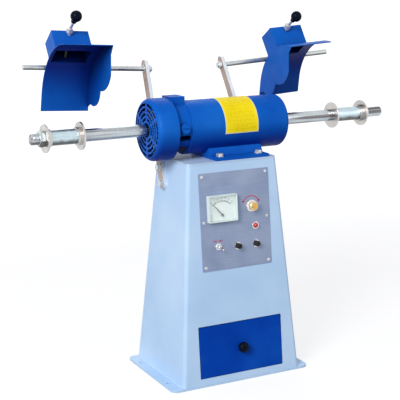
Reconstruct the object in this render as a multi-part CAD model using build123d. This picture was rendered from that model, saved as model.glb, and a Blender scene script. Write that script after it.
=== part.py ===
from build123d import *
from math import atan2, cos, degrees, radians, sin, sqrt, tan
import os

# Polishing machine: a double-ended buffing motor on a tapered sheet pedestal.
# Millimetres, X to the right along the spindle, Y to the back, Z up, origin on the floor under the pedestal.

# Pedestal
pedestal_height = 586.0
base_width = 352.0
base_depth = 294.0
deck_width = 262.0
deck_depth = 186.0
sheet = 2.0
bend_radius = 10.0
base_thickness = 6.0
base_flange = 30.0
base_corner = 18.0
anchor_hole = 11.0
anchor_inset = 60.0
deck_thickness = 6.0
shelf_height = 186.0

# Fits, and how far a cut runs past a face
slip = 0.1
seat_gap = 0.2
running = 0.05
door_gap = 1.5
cut_depth = 12.0
over = 1.0
corner_round = 2.0

# Drawer
drawer_width = 246.0
drawer_height = 136.0
drawer_bottom = 24.5
drawer_plate = 3.0
drawer_proud = 1.0
tray_length = 206.0
tray_height = 112.0
tray_wall = 1.5
tray_side_gap = 5.0
tray_lift = 7.0
runner_sheet = 2.0
runner_ledge = 16.0
runner_web = 54.0
runner_length = 226.0
drawer_knob_diameter = 29.0
drawer_knob_reach = 24.0
drawer_stud = 8.0

# Control panel and what it carries, places are across and up from the panel's middle
panel_width = 206.0
panel_height = 256.0
panel_thickness = 1.5
panel_middle = 431.5
panel_screw_inset = 9.5
panel_rim = 19.0
meter_place = (-41.0, 34.0)
meter_width = 84.0
meter_height = 70.0
meter_depth = 13.0
meter_wall = 3.0
meter_drum = 58.0
meter_drum_depth = 28.0
meter_glass = 1.5
meter_glass_inset = 0.5
meter_pivot_rise = 17.0
needle_pin = 3.0
needle_pin_length = 4.0
needle_thick = 1.2
needle_length = 40.0
needle_root = 1.8
needle_tip = 0.8
needle_swing = 42.0
knob_place = (48.0, 31.0)
knob_diameter = 31.0
knob_height = 18.0
knob_lift = 0.5
knob_skirt = 3.0
knob_chamfer = 1.5
knob_flutes = 16
knob_flute = 2.4
knob_shaft = 6.0
pot_diameter = 26.0
pot_depth = 18.0
pot_bush = 10.0
lamp_place = (57.0, -22.0)
lamp_diameter = 14.0
lamp_bezel = 20.0
lamp_rim = 3.5
lamp_floor = 1.0
lamp_depth = 22.0
toggle_place = (-55.0, -66.0)
toggle_bush = 12.0
toggle_bush_height = 9.0
toggle_nut = 2.5
toggle_pivot = 7.0
toggle_pin = 2.0
toggle_ball = 7.6
toggle_reach = 20.0
toggle_swing = 14.0
fuse_places = ((1.0, -70.0), (56.0, -70.0))
fuse_body = 13.0
fuse_cap = 15.0
fuse_cap_height = 12.0
fuse_cap_round = 1.5
fuse_slot = 2.0
fuse_collar = 4.0
fuse_collar_diameter = 20.0
fuse_stem = 9.0
fuse_depth = 32.0

# Speed controller on the shelf
controller_width = 130.0
controller_depth = 80.0
controller_base = 6.0
controller_fins = 9
controller_fin_height = 28.0
controller_board = 70.0

# Rear cover and cable inlet
cover_width = 208.0
cover_height = 268.0
cover_middle = 340.0
cover_thickness = 1.5
cover_rim = 14.0
vent_count = 7
vent_length = 96.0
vent_width = 6.0
vent_pitch = 16.0
gland_place = (90.0, 112.0)
gland_thread = 16.0
gland_hex = 8.0
gland_bore = 9.0

# Motor, stations along the spindle
axis_height = 667.0
motor_diameter = 140.0
yoke_wall = 8.0
yoke_left = -103.0
yoke_right = 172.0
end_bell_depth = 16.0
end_round = 10.0
end_lip = 4.0
neck_length = 41.0
neck_diameter = 136.0
neck_bore = 104.0
neck_window_angles = ((-22.0, -10.0), (-142.0, -38.0), (190.0, 202.0))
neck_window_margin = 3.0
neck_pad_width = 50.0
neck_pad_rise = 14.0
bell_flange = 8.0
cowl_diameter = 162.0
cowl_length = 57.0
cowl_wall = 2.5
cowl_round = 14.0
cowl_hole = 38.0
cowl_screw_angles = (84.0, 174.0, 264.0)
slot_rings = 4
slot_width = 7.0
slot_pitch = 12.5
slot_first = 25.0
slot_spokes = 6
spoke_width = 8.0
cap_diameter = 25.0
cap_height = 5.0
cap_round = 1.5
cap_slot = 2.5
boss_diameter = 30.0
brush_tilt = 5.0
brush_inner = 40.0
brush_outer = 71.0
brush_tube = 14.0
brush_side = 9.0
foot_middle = 32.5
foot_length = 157.0
foot_thickness = 8.0
foot_inset = 2.0
foot_bolt_end = 21.0
foot_bolt_inset = 23.0
foot_bolt_room = 13.0
saddle_flare = 12.0
saddle_lap = 2.0
label_middle = 42.0
label_width = 98.0
label_low_angle = -13.0
label_high_angle = 110.0
label_thickness = 0.5

# Turning parts
shaft_diameter = 22.0
shaft_overhang = 58.0
shaft_clear = 3.0
bearing_outer = 50.0
bearing_width = 14.0
core_diameter = 96.0
core_left = -40.0
core_length = 170.0
magnet_gap = 2.0
magnet_angle = 120.0
winding_diameter = 80.0
winding_length = 22.0
commutator_diameter = 52.0
commutator_length = 22.0
fan_diameter = 136.0
fan_width = 26.0
fan_plate = 3.0
fan_clear = 4.0
fan_blades = 8
fan_hub = 44.0
fan_lap = 2.0
spindle_diameter = 32.0
spindle_gap = 6.0
seat_diameter = 28.0
seat_start = {"left": 380.0, "right": 365.0}
flange_diameter = 71.0
flange_plate = 5.0
flange_hub = 46.0
flange_hub_length = 10.0
sleeve_diameter = 38.0
sleeve_length = {"left": 68.0, "right": 72.5}
thread_diameter = 27.0
nut_across = 36.0
nut_length = 15.0
spindle_end = {"left": 513.0, "right": 532.0}
spindle_chamfer = 2.0
grub_diameter = 6.0
grub_turn = 20.0
grub_places = (0.3, 0.7)

# Hood arms and rods
arm_foot = (24.0, 503.8)
arm_length = 366.0
arm_width = 25.0
arm_thickness = 10.0
arm_lean = 27.2
arm_bolt_low = 16.0
arm_bolt_pitch = 44.0
rod_from_end = 25.0
rod_diameter = 14.0
rod_reach = 347.0
rod_rise = 3.5
rod_chamfer = 1.0
rod_stub = 3.0
rod_nut_across = 19.0
rod_nut_length = 9.0
rod_washer = 20.0
rod_washer_thickness = 2.0

# Dust hoods, forward and up are measured from the rod
hood_width = 133.0
hood_back = -5.0
hood_bottom = -117.0
hood_straight = 43.0
hood_radius = 156.6
hood_angle = 84.0
cheek_chamfer = (9.5, 24.0)
cheek_nose_drop = 74.0
cheek_notch = (78.0, 70.0)
cheek_heel = (18.0, 23.0)
cheek_bottom_step = 11.0
lobe_upper = (0.27, 0.62)
lobe_lower = (0.2, 0.74)
box_width = 101.0
box_depth = 57.0
box_corner = (19.0, 100.0)
box_pitch = 44.0
box_reach = 110.0
block_length = 40.0
block_half = 16.0
block_shift = 4.0
screw_diameter = 10.0
screw_from_corner = 11.0
hub_diameter = 18.0
hub_length = 12.0
lever_diameter = 8.0
lever_lean = 45.0
lever_length = 56.0
ball_diameter = 30.0
hood_inner = {"left": 157.0, "right": 134.0}
hood_tilt = {"left": 6.0, "right": 15.0}
box_inset = {"left": 24.8, "right": 0.0}
hub_shift = {"left": 4.0, "right": 0.0}

# Fasteners
bolt_diameter = 10.0
bolt_across = 17.0
bolt_head = 7.0
bolt_nut = 8.0
bolt_stub = 2.0
screw_shank = 4.0
screw_head = 8.0
screw_head_height = 2.6
screw_head_round = 1.0
screw_length = 8.0

# Values that follow from the sizes above
lean_front = atan2((base_depth - deck_depth) / 2, pedestal_height)
lean_side = atan2((base_width - deck_width) / 2, pedestal_height)
front_face = Plane((0, -base_depth / 2, 0), x_dir=(1, 0, 0), z_dir=(0, -cos(lean_front), sin(lean_front)))
rear_face = Plane((0, base_depth / 2, 0), x_dir=(-1, 0, 0), z_dir=(0, cos(lean_front), sin(lean_front)))
right_face = Plane((base_width / 2, 0, 0), x_dir=(0, 1, 0), z_dir=(cos(lean_side), 0, sin(lean_side)))
motor_radius = motor_diameter / 2
cowl_radius = cowl_diameter / 2
deck_under = pedestal_height - deck_thickness
panel_up = panel_middle / cos(lean_front)
neck_left = yoke_left - neck_length
bell_left = neck_left - bell_flange
cowl_left = neck_left - cowl_length
drive_end = yoke_right + end_bell_depth
foot_span = deck_depth - 2 * foot_inset
foot_bolt_span = foot_length - 2 * foot_bolt_end
foot_bolt_depth = deck_depth - 2 * foot_bolt_inset
saddle_width = foot_bolt_depth - 2 * (foot_bolt_room + saddle_flare)
brush_at = (neck_left + yoke_left) / 2
cowl_screw_at = (bell_left + neck_left) / 2
sides = {"left": -1, "right": 1}
on_base = (Align.CENTER, Align.CENTER, Align.MIN)

nodes = {}


# Shared building steps
def group(shapes):
    return Compound([solid for shape in shapes for solid in shape.solids()])


def cylinder_up(diameter, low, high):
    return Pos(0, 0, low) * extrude(Circle(diameter / 2), high - low)


def hexagon(across):
    return RegularPolygon(across / 2, 6, major_radius=False)


def hex_up(across, low, high):
    return Pos(0, 0, low) * extrude(hexagon(across), high - low)


def across_axis(x, lift=0.0):
    return Plane((x, 0, lift), x_dir=(0, 1, 0), z_dir=(1, 0, 0))


def bar_x(sketch, start, end, lift=axis_height):
    return extrude(across_axis(start, lift) * sketch, end - start)


def round_x(diameter, start, end, lift=axis_height):
    return bar_x(Circle(diameter / 2), start, end, lift)


def ring_x(outer, inner, start, end):
    return bar_x(Circle(outer / 2) - Circle(inner / 2), start, end)


def about_motor(x, angle):
    # Place on the motor where local Z points outwards, angle 0 is the front and 90 the top
    return Pos(x, 0, axis_height) * Rot(X=90 - angle)


def wedge(low, high):
    # Sector of the motor's cross-section between two angles, 0 is the front and 90 the top
    half = radians((high - low) / 2)
    reach = cowl_diameter
    sector = Polygon((0, 0), (reach, reach * tan(half)), (reach, -reach * tan(half)), align=None)
    return Rot(Z=180 - (low + high) / 2) * sector


def pan_screw():
    head = fillet(cylinder_up(screw_head, 0, screw_head_height).edges().sort_by(Axis.Z)[-1], screw_head_round)
    return head + cylinder_up(screw_shank, -screw_length, 0)


def hex_bolt(grip):
    # Bolt with its head on local Z 0, and its nut under the grip
    end = -grip - bolt_nut - bolt_stub
    bolt = hex_up(bolt_across, 0, bolt_head) + cylinder_up(bolt_diameter, end, 0)
    nut = hex_up(bolt_across, -grip - bolt_nut, -grip) - cylinder_up(bolt_diameter + 2 * slip, end, 0)
    return [bolt, nut]


def screw_hole():
    return cylinder_up(screw_shank + 2 * slip, -screw_length - over, over)


def bolt_hole(grip):
    return cylinder_up(bolt_diameter + 4 * slip, -grip - over, over)


def width_at(height):
    return base_width + (deck_width - base_width) * height / pedestal_height


def depth_at(height):
    return base_depth + (deck_depth - base_depth) * height / pedestal_height


def tapered_block(inset):
    # Block between the base plate and the deck with its four corner edges rounded
    def profile(size_at):
        low = size_at(base_thickness) / 2 - inset
        high = size_at(deck_under) / 2 - inset
        corners = [(-low, base_thickness), (low, base_thickness), (high, deck_under), (-high, deck_under)]
        return Polygon(*corners, align=None)
    block = extrude(Plane.XZ * profile(width_at), base_depth, both=True)
    block &= extrude(Plane.YZ * profile(depth_at), base_width, both=True)
    uprights = [edge for edge in block.edges() if edge.bounding_box().size.Z > pedestal_height / 2]
    return fillet(uprights, bend_radius - inset)


def on_panel(place, lift=0.0):
    # Point on the panel's front, local Z out of the panel and local Y up its slope
    return front_face.location * Pos(place[0], panel_up + place[1], panel_thickness + lift)


def on_rear(place, lift=0.0):
    return rear_face.location * Pos(place[0], cover_middle / cos(lean_front) + place[1], lift)


def gland_at():
    return rear_face.location * Pos(gland_place[0], gland_place[1] / cos(lean_front), 0)


def drawer_place():
    # Middle of the drawer's front on the slope of the cabinet
    return front_face.location * Pos(0, drawer_bottom + drawer_height / 2, 0)


def arm_at(distance, lift):
    # Point along the right arm from its lower end, local Z out of the cabinet's side
    foot = Pos(arm_foot[0], arm_foot[1] / cos(lean_side), 0)
    return right_face.location * foot * Rot(Z=-arm_lean) * Pos(0, distance, lift)


def screw_grid(half_across, half_up):
    return [(x, y) for x in (-half_across, half_across) for y in (-half_up, 0, half_up)]


panel_screws = screw_grid(panel_width / 2 - panel_screw_inset, panel_height / 2 - panel_screw_inset)
cover_screws = screw_grid(cover_width / 2 - cover_rim / 2, cover_height / 2 - cover_rim / 2)
arm_bolts = (arm_bolt_low, arm_bolt_low + arm_bolt_pitch)
foot_bolts = [(foot_middle + x * foot_bolt_span / 2, y * foot_bolt_depth / 2)
              for x in (-1, 1) for y in (-1, 1)]


# Pedestal
def make_pedestal():
    plate = Rectangle(base_width + 2 * base_flange, base_depth)
    plate = fillet(plate.vertices(), base_corner)
    for x in (-1, 1):
        for y in (-1, 1):
            place = Pos(x * (base_width + base_flange) / 2, y * (base_depth / 2 - anchor_inset))
            plate -= place * Circle(anchor_hole / 2)
    nodes["base_plate"] = extrude(plate, base_thickness)

    shell = tapered_block(0) - tapered_block(sheet)
    window = Rectangle(panel_width - 2 * panel_rim, panel_height - 2 * panel_rim)
    opening = Rectangle(cover_width - 2 * cover_rim, cover_height - 2 * cover_rim)
    door = Rectangle(drawer_width + 2 * door_gap, drawer_height + 2 * door_gap)
    cuts = [on_panel((0, 0)) * extrude(window, cut_depth, both=True),
            on_rear((0, 0)) * extrude(opening, cut_depth, both=True),
            drawer_place() * extrude(door, cut_depth, both=True),
            gland_at() * cylinder_up(gland_thread + 2 * slip, -cut_depth, cut_depth)]
    cuts += [on_panel(place) * screw_hole() for place in panel_screws]
    cuts += [on_rear(place) * screw_hole() for place in cover_screws]
    for distance in arm_bolts:
        hole = arm_at(distance, arm_thickness) * bolt_hole(arm_thickness + sheet)
        cuts += [hole, mirror(hole, about=Plane.YZ)]
    nodes["cabinet_shell"] = shell - cuts

    top = RectangleRounded(deck_width, deck_depth, bend_radius)
    deck = extrude(Plane.XY.offset(deck_under) * top, deck_thickness)
    for x, y in foot_bolts:
        deck -= Pos(x, y, pedestal_height) * bolt_hole(deck_thickness)
    nodes["motor_deck"] = deck
    inset = sheet + 2 * seat_gap
    shelf = RectangleRounded(width_at(shelf_height) - 2 * inset, depth_at(shelf_height) - 2 * inset,
                             bend_radius - sheet)
    nodes["inner_shelf"] = extrude(Plane.XY.offset(shelf_height) * shelf, sheet)


def make_rear_cover():
    cover = extrude(RectangleRounded(cover_width, cover_height, corner_round), cover_thickness)
    for row in range(vent_count):
        vent = SlotOverall(vent_length, vent_width)
        cover -= Pos(0, (row - (vent_count - 1) / 2) * vent_pitch) * extrude(vent, cut_depth, both=True)
    for place in cover_screws:
        cover -= Pos(*place) * cylinder_up(screw_shank + 4 * slip, -over, cover_thickness + over)
    nodes["rear_cover"] = on_rear((0, 0)) * cover

    gland = hex_up(gland_thread * 1.5, 0, gland_hex) + cylinder_up(gland_thread, -sheet - gland_hex, 0)
    gland += Pos(0, 0, gland_hex) * Cone(gland_thread * 0.68, gland_thread * 0.5, gland_hex, align=on_base)
    gland -= cylinder_up(gland_bore, -cut_depth, 3 * gland_hex)
    nut = hex_up(gland_thread * 1.5, -sheet - gland_hex / 2, -sheet)
    nut -= cylinder_up(gland_thread + 2 * slip, -cut_depth, 0)
    nodes["cable_gland"] = group([gland_at() * gland, gland_at() * nut])


# Drawer on two folded runners
def make_drawer():
    plate = RectangleRounded(drawer_width, drawer_height, corner_round)
    front = drawer_place() * Pos(0, 0, drawer_proud - drawer_plate) * extrude(plate, drawer_plate)
    nodes["drawer_front"] = front - drawer_place() * cylinder_up(drawer_stud, -cut_depth, cut_depth)

    back_face = drawer_proud - drawer_plate
    low = (drawer_bottom + tray_lift) * cos(lean_front)
    half = drawer_width / 2 - tray_side_gap
    tray = tray_solid(back_face, low, low + tray_height, tray_length, half)
    hollow = tray_solid(back_face - tray_wall, low + tray_wall, low + tray_height + over,
                        tray_length - 2 * tray_wall, half - tray_wall)
    tray = tray - hollow - drawer_place() * cylinder_up(drawer_stud, -cut_depth, cut_depth)
    nodes["drawer_tray"] = tray

    head = Pos(0, 0, drawer_knob_reach - drawer_knob_diameter / 2) * Sphere(drawer_knob_diameter / 2)
    knob = head + cylinder_up(drawer_knob_diameter * 0.55, 0, drawer_knob_reach / 2)
    trim = 2 * drawer_knob_diameter
    knob -= Pos(0, 0, -trim / 2) * Box(trim, trim, trim)
    knob += cylinder_up(drawer_stud - 2 * slip, back_face - tray_wall - drawer_proud, over)
    nodes["drawer_knob"] = drawer_place() * Pos(0, 0, drawer_proud) * knob

    ledge_top = low - seat_gap
    web_in = half + tray_side_gap - runner_sheet - slip
    start = -depth_at(base_thickness) / 2 + 3 * sheet
    runners = []
    for side in (-1, 1):
        web = (web_in, web_in + runner_sheet, base_thickness, base_thickness + runner_web)
        ledge = (web_in - runner_ledge, web_in, ledge_top - runner_sheet, ledge_top)
        foot = (web_in, web_in + runner_ledge, base_thickness, base_thickness + runner_sheet)
        runner = None
        for left, right, bottom, top in (web, ledge, foot):
            piece = Box(right - left, runner_length, top - bottom)
            piece = Pos((left + right) / 2, start + runner_length / 2 + sheet, (bottom + top) / 2) * piece
            runner = piece if runner is None else runner + piece
        runners.append(runner if side > 0 else mirror(runner, about=Plane.YZ))
    nodes["drawer_runners"] = group(runners)


def tray_solid(face_lift, low, high, length, half):
    # Prism across the drawer whose front follows the slope of the cabinet
    def front_at(height):
        return -base_depth / 2 + height * tan(lean_front) - face_lift / cos(lean_front)
    back = front_at(0) + length
    points = [(front_at(low), low), (back, low), (back, high), (front_at(high), high)]
    return extrude(Plane.YZ.offset(-half) * Polygon(*points, align=None), 2 * half)


# Control panel and its parts, each built with its axis out of the panel
def make_panel():
    plate = extrude(RectangleRounded(panel_width, panel_height, corner_round), -panel_thickness)
    holes = [(meter_place, meter_drum), (knob_place, pot_bush), (lamp_place, lamp_diameter),
             (toggle_place, toggle_bush), (fuse_places[0], fuse_body), (fuse_places[1], fuse_body)]
    for place, diameter in holes + [(place, screw_shank + 2 * slip) for place in panel_screws]:
        plate -= Pos(*place) * cylinder_up(diameter + 2 * slip, -panel_thickness - over, over)
    nodes["control_panel"] = on_panel((0, 0)) * plate

    screws = [on_panel(place) * pan_screw() for place in panel_screws]
    screws += [on_rear(place, cover_thickness) * pan_screw() for place in cover_screws]
    screws += [about_motor(cowl_screw_at, angle) * Pos(0, 0, cowl_radius) * pan_screw()
               for angle in cowl_screw_angles]
    nodes["casing_screws"] = group(screws)


def make_meter():
    inner_width = meter_width - 2 * meter_wall
    inner_height = meter_height - 2 * meter_wall
    pivot = Pos(0, meter_pivot_rise - meter_height / 2, meter_wall)
    case = extrude(RectangleRounded(meter_width, meter_height, corner_round), meter_depth)
    cavity = Pos(0, 0, meter_wall) * extrude(Rectangle(inner_width, inner_height), meter_depth)
    case = case - cavity + cylinder_up(meter_drum, -meter_drum_depth, 0)
    case += pivot * cylinder_up(needle_pin, 0, needle_pin_length)
    nodes["meter_case"] = on_panel(meter_place) * case

    window = Rectangle(inner_width - 2 * slip, inner_height - 2 * slip)
    glass = Pos(0, 0, meter_depth - meter_glass - meter_glass_inset) * extrude(window, meter_glass)
    nodes["meter_window"] = on_panel(meter_place) * glass

    hub = cylinder_up(2.5 * needle_pin, 0, needle_thick)
    hub -= cylinder_up(needle_pin + 2 * running, -over, needle_thick + over)
    root = needle_root / 2
    tip = needle_tip / 2
    blade = Polygon((-root, needle_pin), (root, needle_pin), (tip, needle_length), (-tip, needle_length),
                    align=None)
    needle = hub + extrude(blade, needle_thick)
    needle = Rot(Z=needle_swing) * Pos(0, 0, needle_pin_length - needle_thick - running) * needle
    nodes["meter_needle"] = on_panel(meter_place) * pivot * needle


def make_speed_control():
    under = -panel_thickness
    pot = cylinder_up(pot_diameter, under - pot_depth, under) + cylinder_up(pot_bush, under, 0)
    pot -= cylinder_up(knob_shaft + 2 * running, under - pot_depth / 2, over)
    nodes["speed_pot"] = on_panel(knob_place) * pot

    skirt = cylinder_up(knob_diameter, knob_lift, knob_lift + knob_skirt)
    grip = cylinder_up(knob_diameter * 0.8, knob_lift, knob_height)
    grip = chamfer(grip.edges().sort_by(Axis.Z)[-1], knob_chamfer)
    flute = cylinder_up(knob_flute, knob_lift + knob_skirt, knob_height + over)
    for step in range(knob_flutes):
        grip -= Rot(Z=360 / knob_flutes * step) * Pos(knob_diameter * 0.4, 0) * flute
    stem = cylinder_up(knob_shaft, under - pot_depth / 2 + over, knob_lift)
    nodes["speed_knob"] = on_panel(knob_place) * (skirt + grip + stem)


def make_toggle():
    under = -panel_thickness
    pivot = Pos(0, 0, toggle_pivot)
    pin_half = toggle_bush / 2 - over
    block = Box(toggle_bush * 1.3, toggle_bush * 2.2, toggle_bush * 2)
    body = Pos(0, 0, under - toggle_bush) * block + cylinder_up(toggle_bush, under, toggle_bush_height)
    body += hex_up(toggle_bush * 1.4, 0, toggle_nut)
    body -= cylinder_up(toggle_ball + 4 * running, under - over, toggle_bush_height + over)
    body -= pivot * Rot(Y=90) * cylinder_up(toggle_pin + 2 * running, -toggle_bush, toggle_bush)
    nodes["toggle_body"] = on_panel(toggle_place) * body

    bat = Cone(toggle_ball * 0.24, toggle_ball * 0.4, toggle_reach, align=on_base)
    lever = Sphere(toggle_ball / 2) + bat + Pos(0, 0, toggle_reach) * Sphere(toggle_ball * 0.4)
    lever += Rot(Y=90) * cylinder_up(toggle_pin, -pin_half, pin_half)
    nodes["toggle_lever"] = on_panel(toggle_place) * pivot * Rot(X=toggle_swing) * lever


def make_lamp_and_fuses():
    body = cylinder_up(lamp_diameter, -lamp_depth, 0)
    body += cylinder_up(lamp_bezel, 0, lamp_rim) - cylinder_up(lamp_diameter, lamp_floor, lamp_rim)
    nodes["lamp_body"] = on_panel(lamp_place) * body
    lens_radius = lamp_diameter / 2 - slip
    dome = Pos(0, 0, lamp_rim) * Sphere(lens_radius)
    dome -= Pos(0, 0, lamp_floor - lamp_bezel / 2) * Box(lamp_bezel, lamp_bezel, lamp_bezel)
    nodes["lamp_lens"] = on_panel(lamp_place) * (dome + cylinder_up(2 * lens_radius, lamp_floor, lamp_rim))

    holder = cylinder_up(fuse_body, -fuse_depth, 0) + cylinder_up(fuse_collar_diameter, 0, fuse_collar)
    holder -= cylinder_up(fuse_stem + 2 * running, -fuse_depth + fuse_collar, fuse_collar + over)
    nodes["fuse_holders"] = group([on_panel(place) * holder for place in fuse_places])
    top = fuse_collar + running + fuse_cap_height
    cap = cylinder_up(fuse_cap, fuse_collar + running, top)
    cap = fillet(cap.edges().sort_by(Axis.Z)[-1], fuse_cap_round)
    cap -= Pos(0, 0, top) * Box(fuse_cap * 0.7, fuse_slot, 2 * fuse_slot)
    cap += cylinder_up(fuse_stem, -fuse_depth / 2, fuse_collar + over)
    for name, place in zip(("left_fuse_cap", "right_fuse_cap"), fuse_places):
        nodes[name] = on_panel(place) * cap


def make_controller():
    # Speed controller on the shelf: a finned heat sink with its board standing on it
    floor = shelf_height + sheet
    sink = Pos(0, 0, floor) * Box(controller_width, controller_depth, controller_base, align=on_base)
    for fin in range(controller_fins):
        x = (fin / (controller_fins - 1) - 0.5) * (controller_width - sheet)
        plate = Box(sheet, controller_depth, controller_fin_height, align=on_base)
        sink += Pos(x, 0, floor + controller_base) * plate
    board = Box(controller_width, sheet, controller_board, align=on_base)
    sink += Pos(0, (controller_depth - sheet) / 2, floor) * board
    nodes["speed_controller"] = sink


# Motor
def make_motor():
    yoke_bore = motor_diameter - 2 * yoke_wall
    spigot = yoke_bore - 2 * slip
    nodes["motor_yoke"] = ring_x(motor_diameter, yoke_bore, yoke_left, yoke_right)

    core_right = core_left + core_length
    sector = Circle(spigot / 2) - Circle(core_diameter / 2 + magnet_gap)
    half = magnet_angle / 2
    magnet = bar_x(sector & wedge(90 - half, 90 + half), core_left, core_right)
    lower = mirror(magnet, about=Plane.XY.offset(axis_height))
    nodes["field_magnets"] = group([magnet, lower])

    bell = ring_x(cowl_diameter - 2 * cowl_wall - 2 * slip, bearing_outer + 2 * slip, bell_left, neck_left)
    bell += ring_x(neck_diameter, neck_bore, neck_left, yoke_left)
    pad_low = (neck_bore + neck_diameter) / 4
    pad_high = motor_radius + neck_pad_rise
    pad = Pos(0, (pad_low + pad_high) / 2) * Rectangle(neck_pad_width, pad_high - pad_low)
    bell += bar_x(pad, neck_left, yoke_left)
    neck = Circle(cowl_radius) - Circle(neck_bore / 2 - over)
    for low, high in neck_window_angles:
        bell -= bar_x(neck & wedge(low, high), bell_left + bearing_width, yoke_left - neck_window_margin)
    bell += ring_x(spigot, neck_bore, yoke_left, yoke_left + bell_flange)
    bell += ring_x(neck_bore + 2 * over, bearing_outer + 2 * slip, neck_left, bell_left + bearing_width)
    for angle in (brush_tilt, 180 - brush_tilt):
        place = about_motor(brush_at, angle)
        bell += place * cylinder_up(boss_diameter, brush_inner, brush_outer)
        bell -= place * cylinder_up(brush_tube, brush_inner - over, brush_outer + over)
    for angle in cowl_screw_angles:
        bell -= about_motor(cowl_screw_at, angle) * Pos(0, 0, cowl_radius) * screw_hole()
    nodes["brush_end_bell"] = bell

    end = round_x(motor_diameter, yoke_right, drive_end)
    end = fillet(end.edges().sort_by(Axis.X)[-1], end_round)
    end += round_x(spigot, yoke_right - bell_flange, yoke_right)
    end -= round_x(bearing_outer + 2 * slip, yoke_right - cut_depth, drive_end - end_lip)
    end -= round_x(shaft_diameter + 2 * shaft_clear, yoke_right, drive_end + over)
    nodes["drive_end_bell"] = end

    races = []
    for start in (bell_left, drive_end - end_lip - bearing_width):
        races.append(ring_x(bearing_outer, shaft_diameter + 2 * running, start, start + bearing_width))
    nodes["shaft_bearings"] = group(races)

    caps, brushes = [], []
    for angle in (brush_tilt, 180 - brush_tilt):
        cap = cylinder_up(cap_diameter, brush_outer, brush_outer + cap_height)
        cap = fillet(cap.edges().sort_by(Axis.Z)[-1], cap_round)
        cap -= Pos(0, 0, brush_outer + cap_height) * Box(cap_diameter * 0.8, cap_slot, cap_slot)
        cap += cylinder_up(brush_tube - 2 * slip, brush_outer - cap_height, brush_outer)
        caps.append(about_motor(brush_at, angle) * cap)
        low = commutator_diameter / 2 + 3 * slip
        block = Box(brush_side, brush_side, brush_outer - cap_height - low - slip, align=on_base)
        brushes.append(about_motor(brush_at, angle) * Pos(0, 0, low) * block)
    nodes["brush_caps"] = group(caps)
    nodes["carbon_brushes"] = group(brushes)


def make_cowl():
    # Pressed cup with rings of curved slots in its end
    cup = round_x(cowl_diameter, cowl_left, neck_left)
    cup = fillet(cup.edges().sort_by(Axis.X)[0], cowl_round)
    hollow = round_x(cowl_diameter - 2 * cowl_wall, cowl_left + cowl_wall, neck_left)
    hollow = fillet(hollow.edges().sort_by(Axis.X)[0], cowl_round - cowl_wall)
    cup -= hollow
    slots = Sketch()
    for ring in range(slot_rings):
        inner = slot_first + ring * slot_pitch
        slots += Circle(inner + slot_width) - Circle(inner)
    for spoke in range(slot_spokes):
        bar = Pos(cowl_radius / 2, 0) * Rectangle(cowl_radius, spoke_width)
        slots -= Rot(Z=360 / slot_spokes * (spoke + 0.5)) * bar
    cup -= bar_x(slots, cowl_left - over, cowl_left + cowl_wall + over)
    cup -= round_x(cowl_hole, cowl_left - over, cowl_left + cowl_wall + over)
    for angle in cowl_screw_angles:
        cup -= about_motor(cowl_screw_at, angle) * Pos(0, 0, cowl_radius) * screw_hole()
    nodes["fan_cowl"] = cup


def make_foot():
    # Cast foot: two bolted flanges and a saddle under the yoke
    under = pedestal_height - axis_height
    half = saddle_width / 2
    rise = -sqrt(motor_radius ** 2 - half ** 2) + saddle_lap
    flange = Pos(0, under + foot_thickness / 2) * Rectangle(foot_span, foot_thickness)
    step = under + foot_thickness - over
    wide = half + saddle_flare
    saddle = Polygon((-wide, step), (wide, step), (half, rise), (-half, rise), align=None)
    profile = flange + saddle - Circle(motor_radius + seat_gap)
    foot = bar_x(profile, foot_middle - foot_length / 2, foot_middle + foot_length / 2)
    bolts = []
    for x, y in foot_bolts:
        place = Pos(x, y, pedestal_height + foot_thickness)
        foot -= place * bolt_hole(foot_thickness)
        bolts += [place * piece for piece in hex_bolt(foot_thickness + deck_thickness)]
    nodes["motor_foot"] = foot

    for distance in arm_bolts:
        for piece in hex_bolt(arm_thickness + sheet):
            bolt = arm_at(distance, arm_thickness) * piece
            bolts += [bolt, mirror(bolt, about=Plane.YZ)]
    nodes["hex_bolts"] = group(bolts)

    inner = motor_radius + running
    arc = Circle(inner + label_thickness) - Circle(inner)
    band = arc & wedge(label_low_angle, label_high_angle)
    nodes["motor_label"] = bar_x(band, label_middle - label_width / 2, label_middle + label_width / 2)


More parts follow.
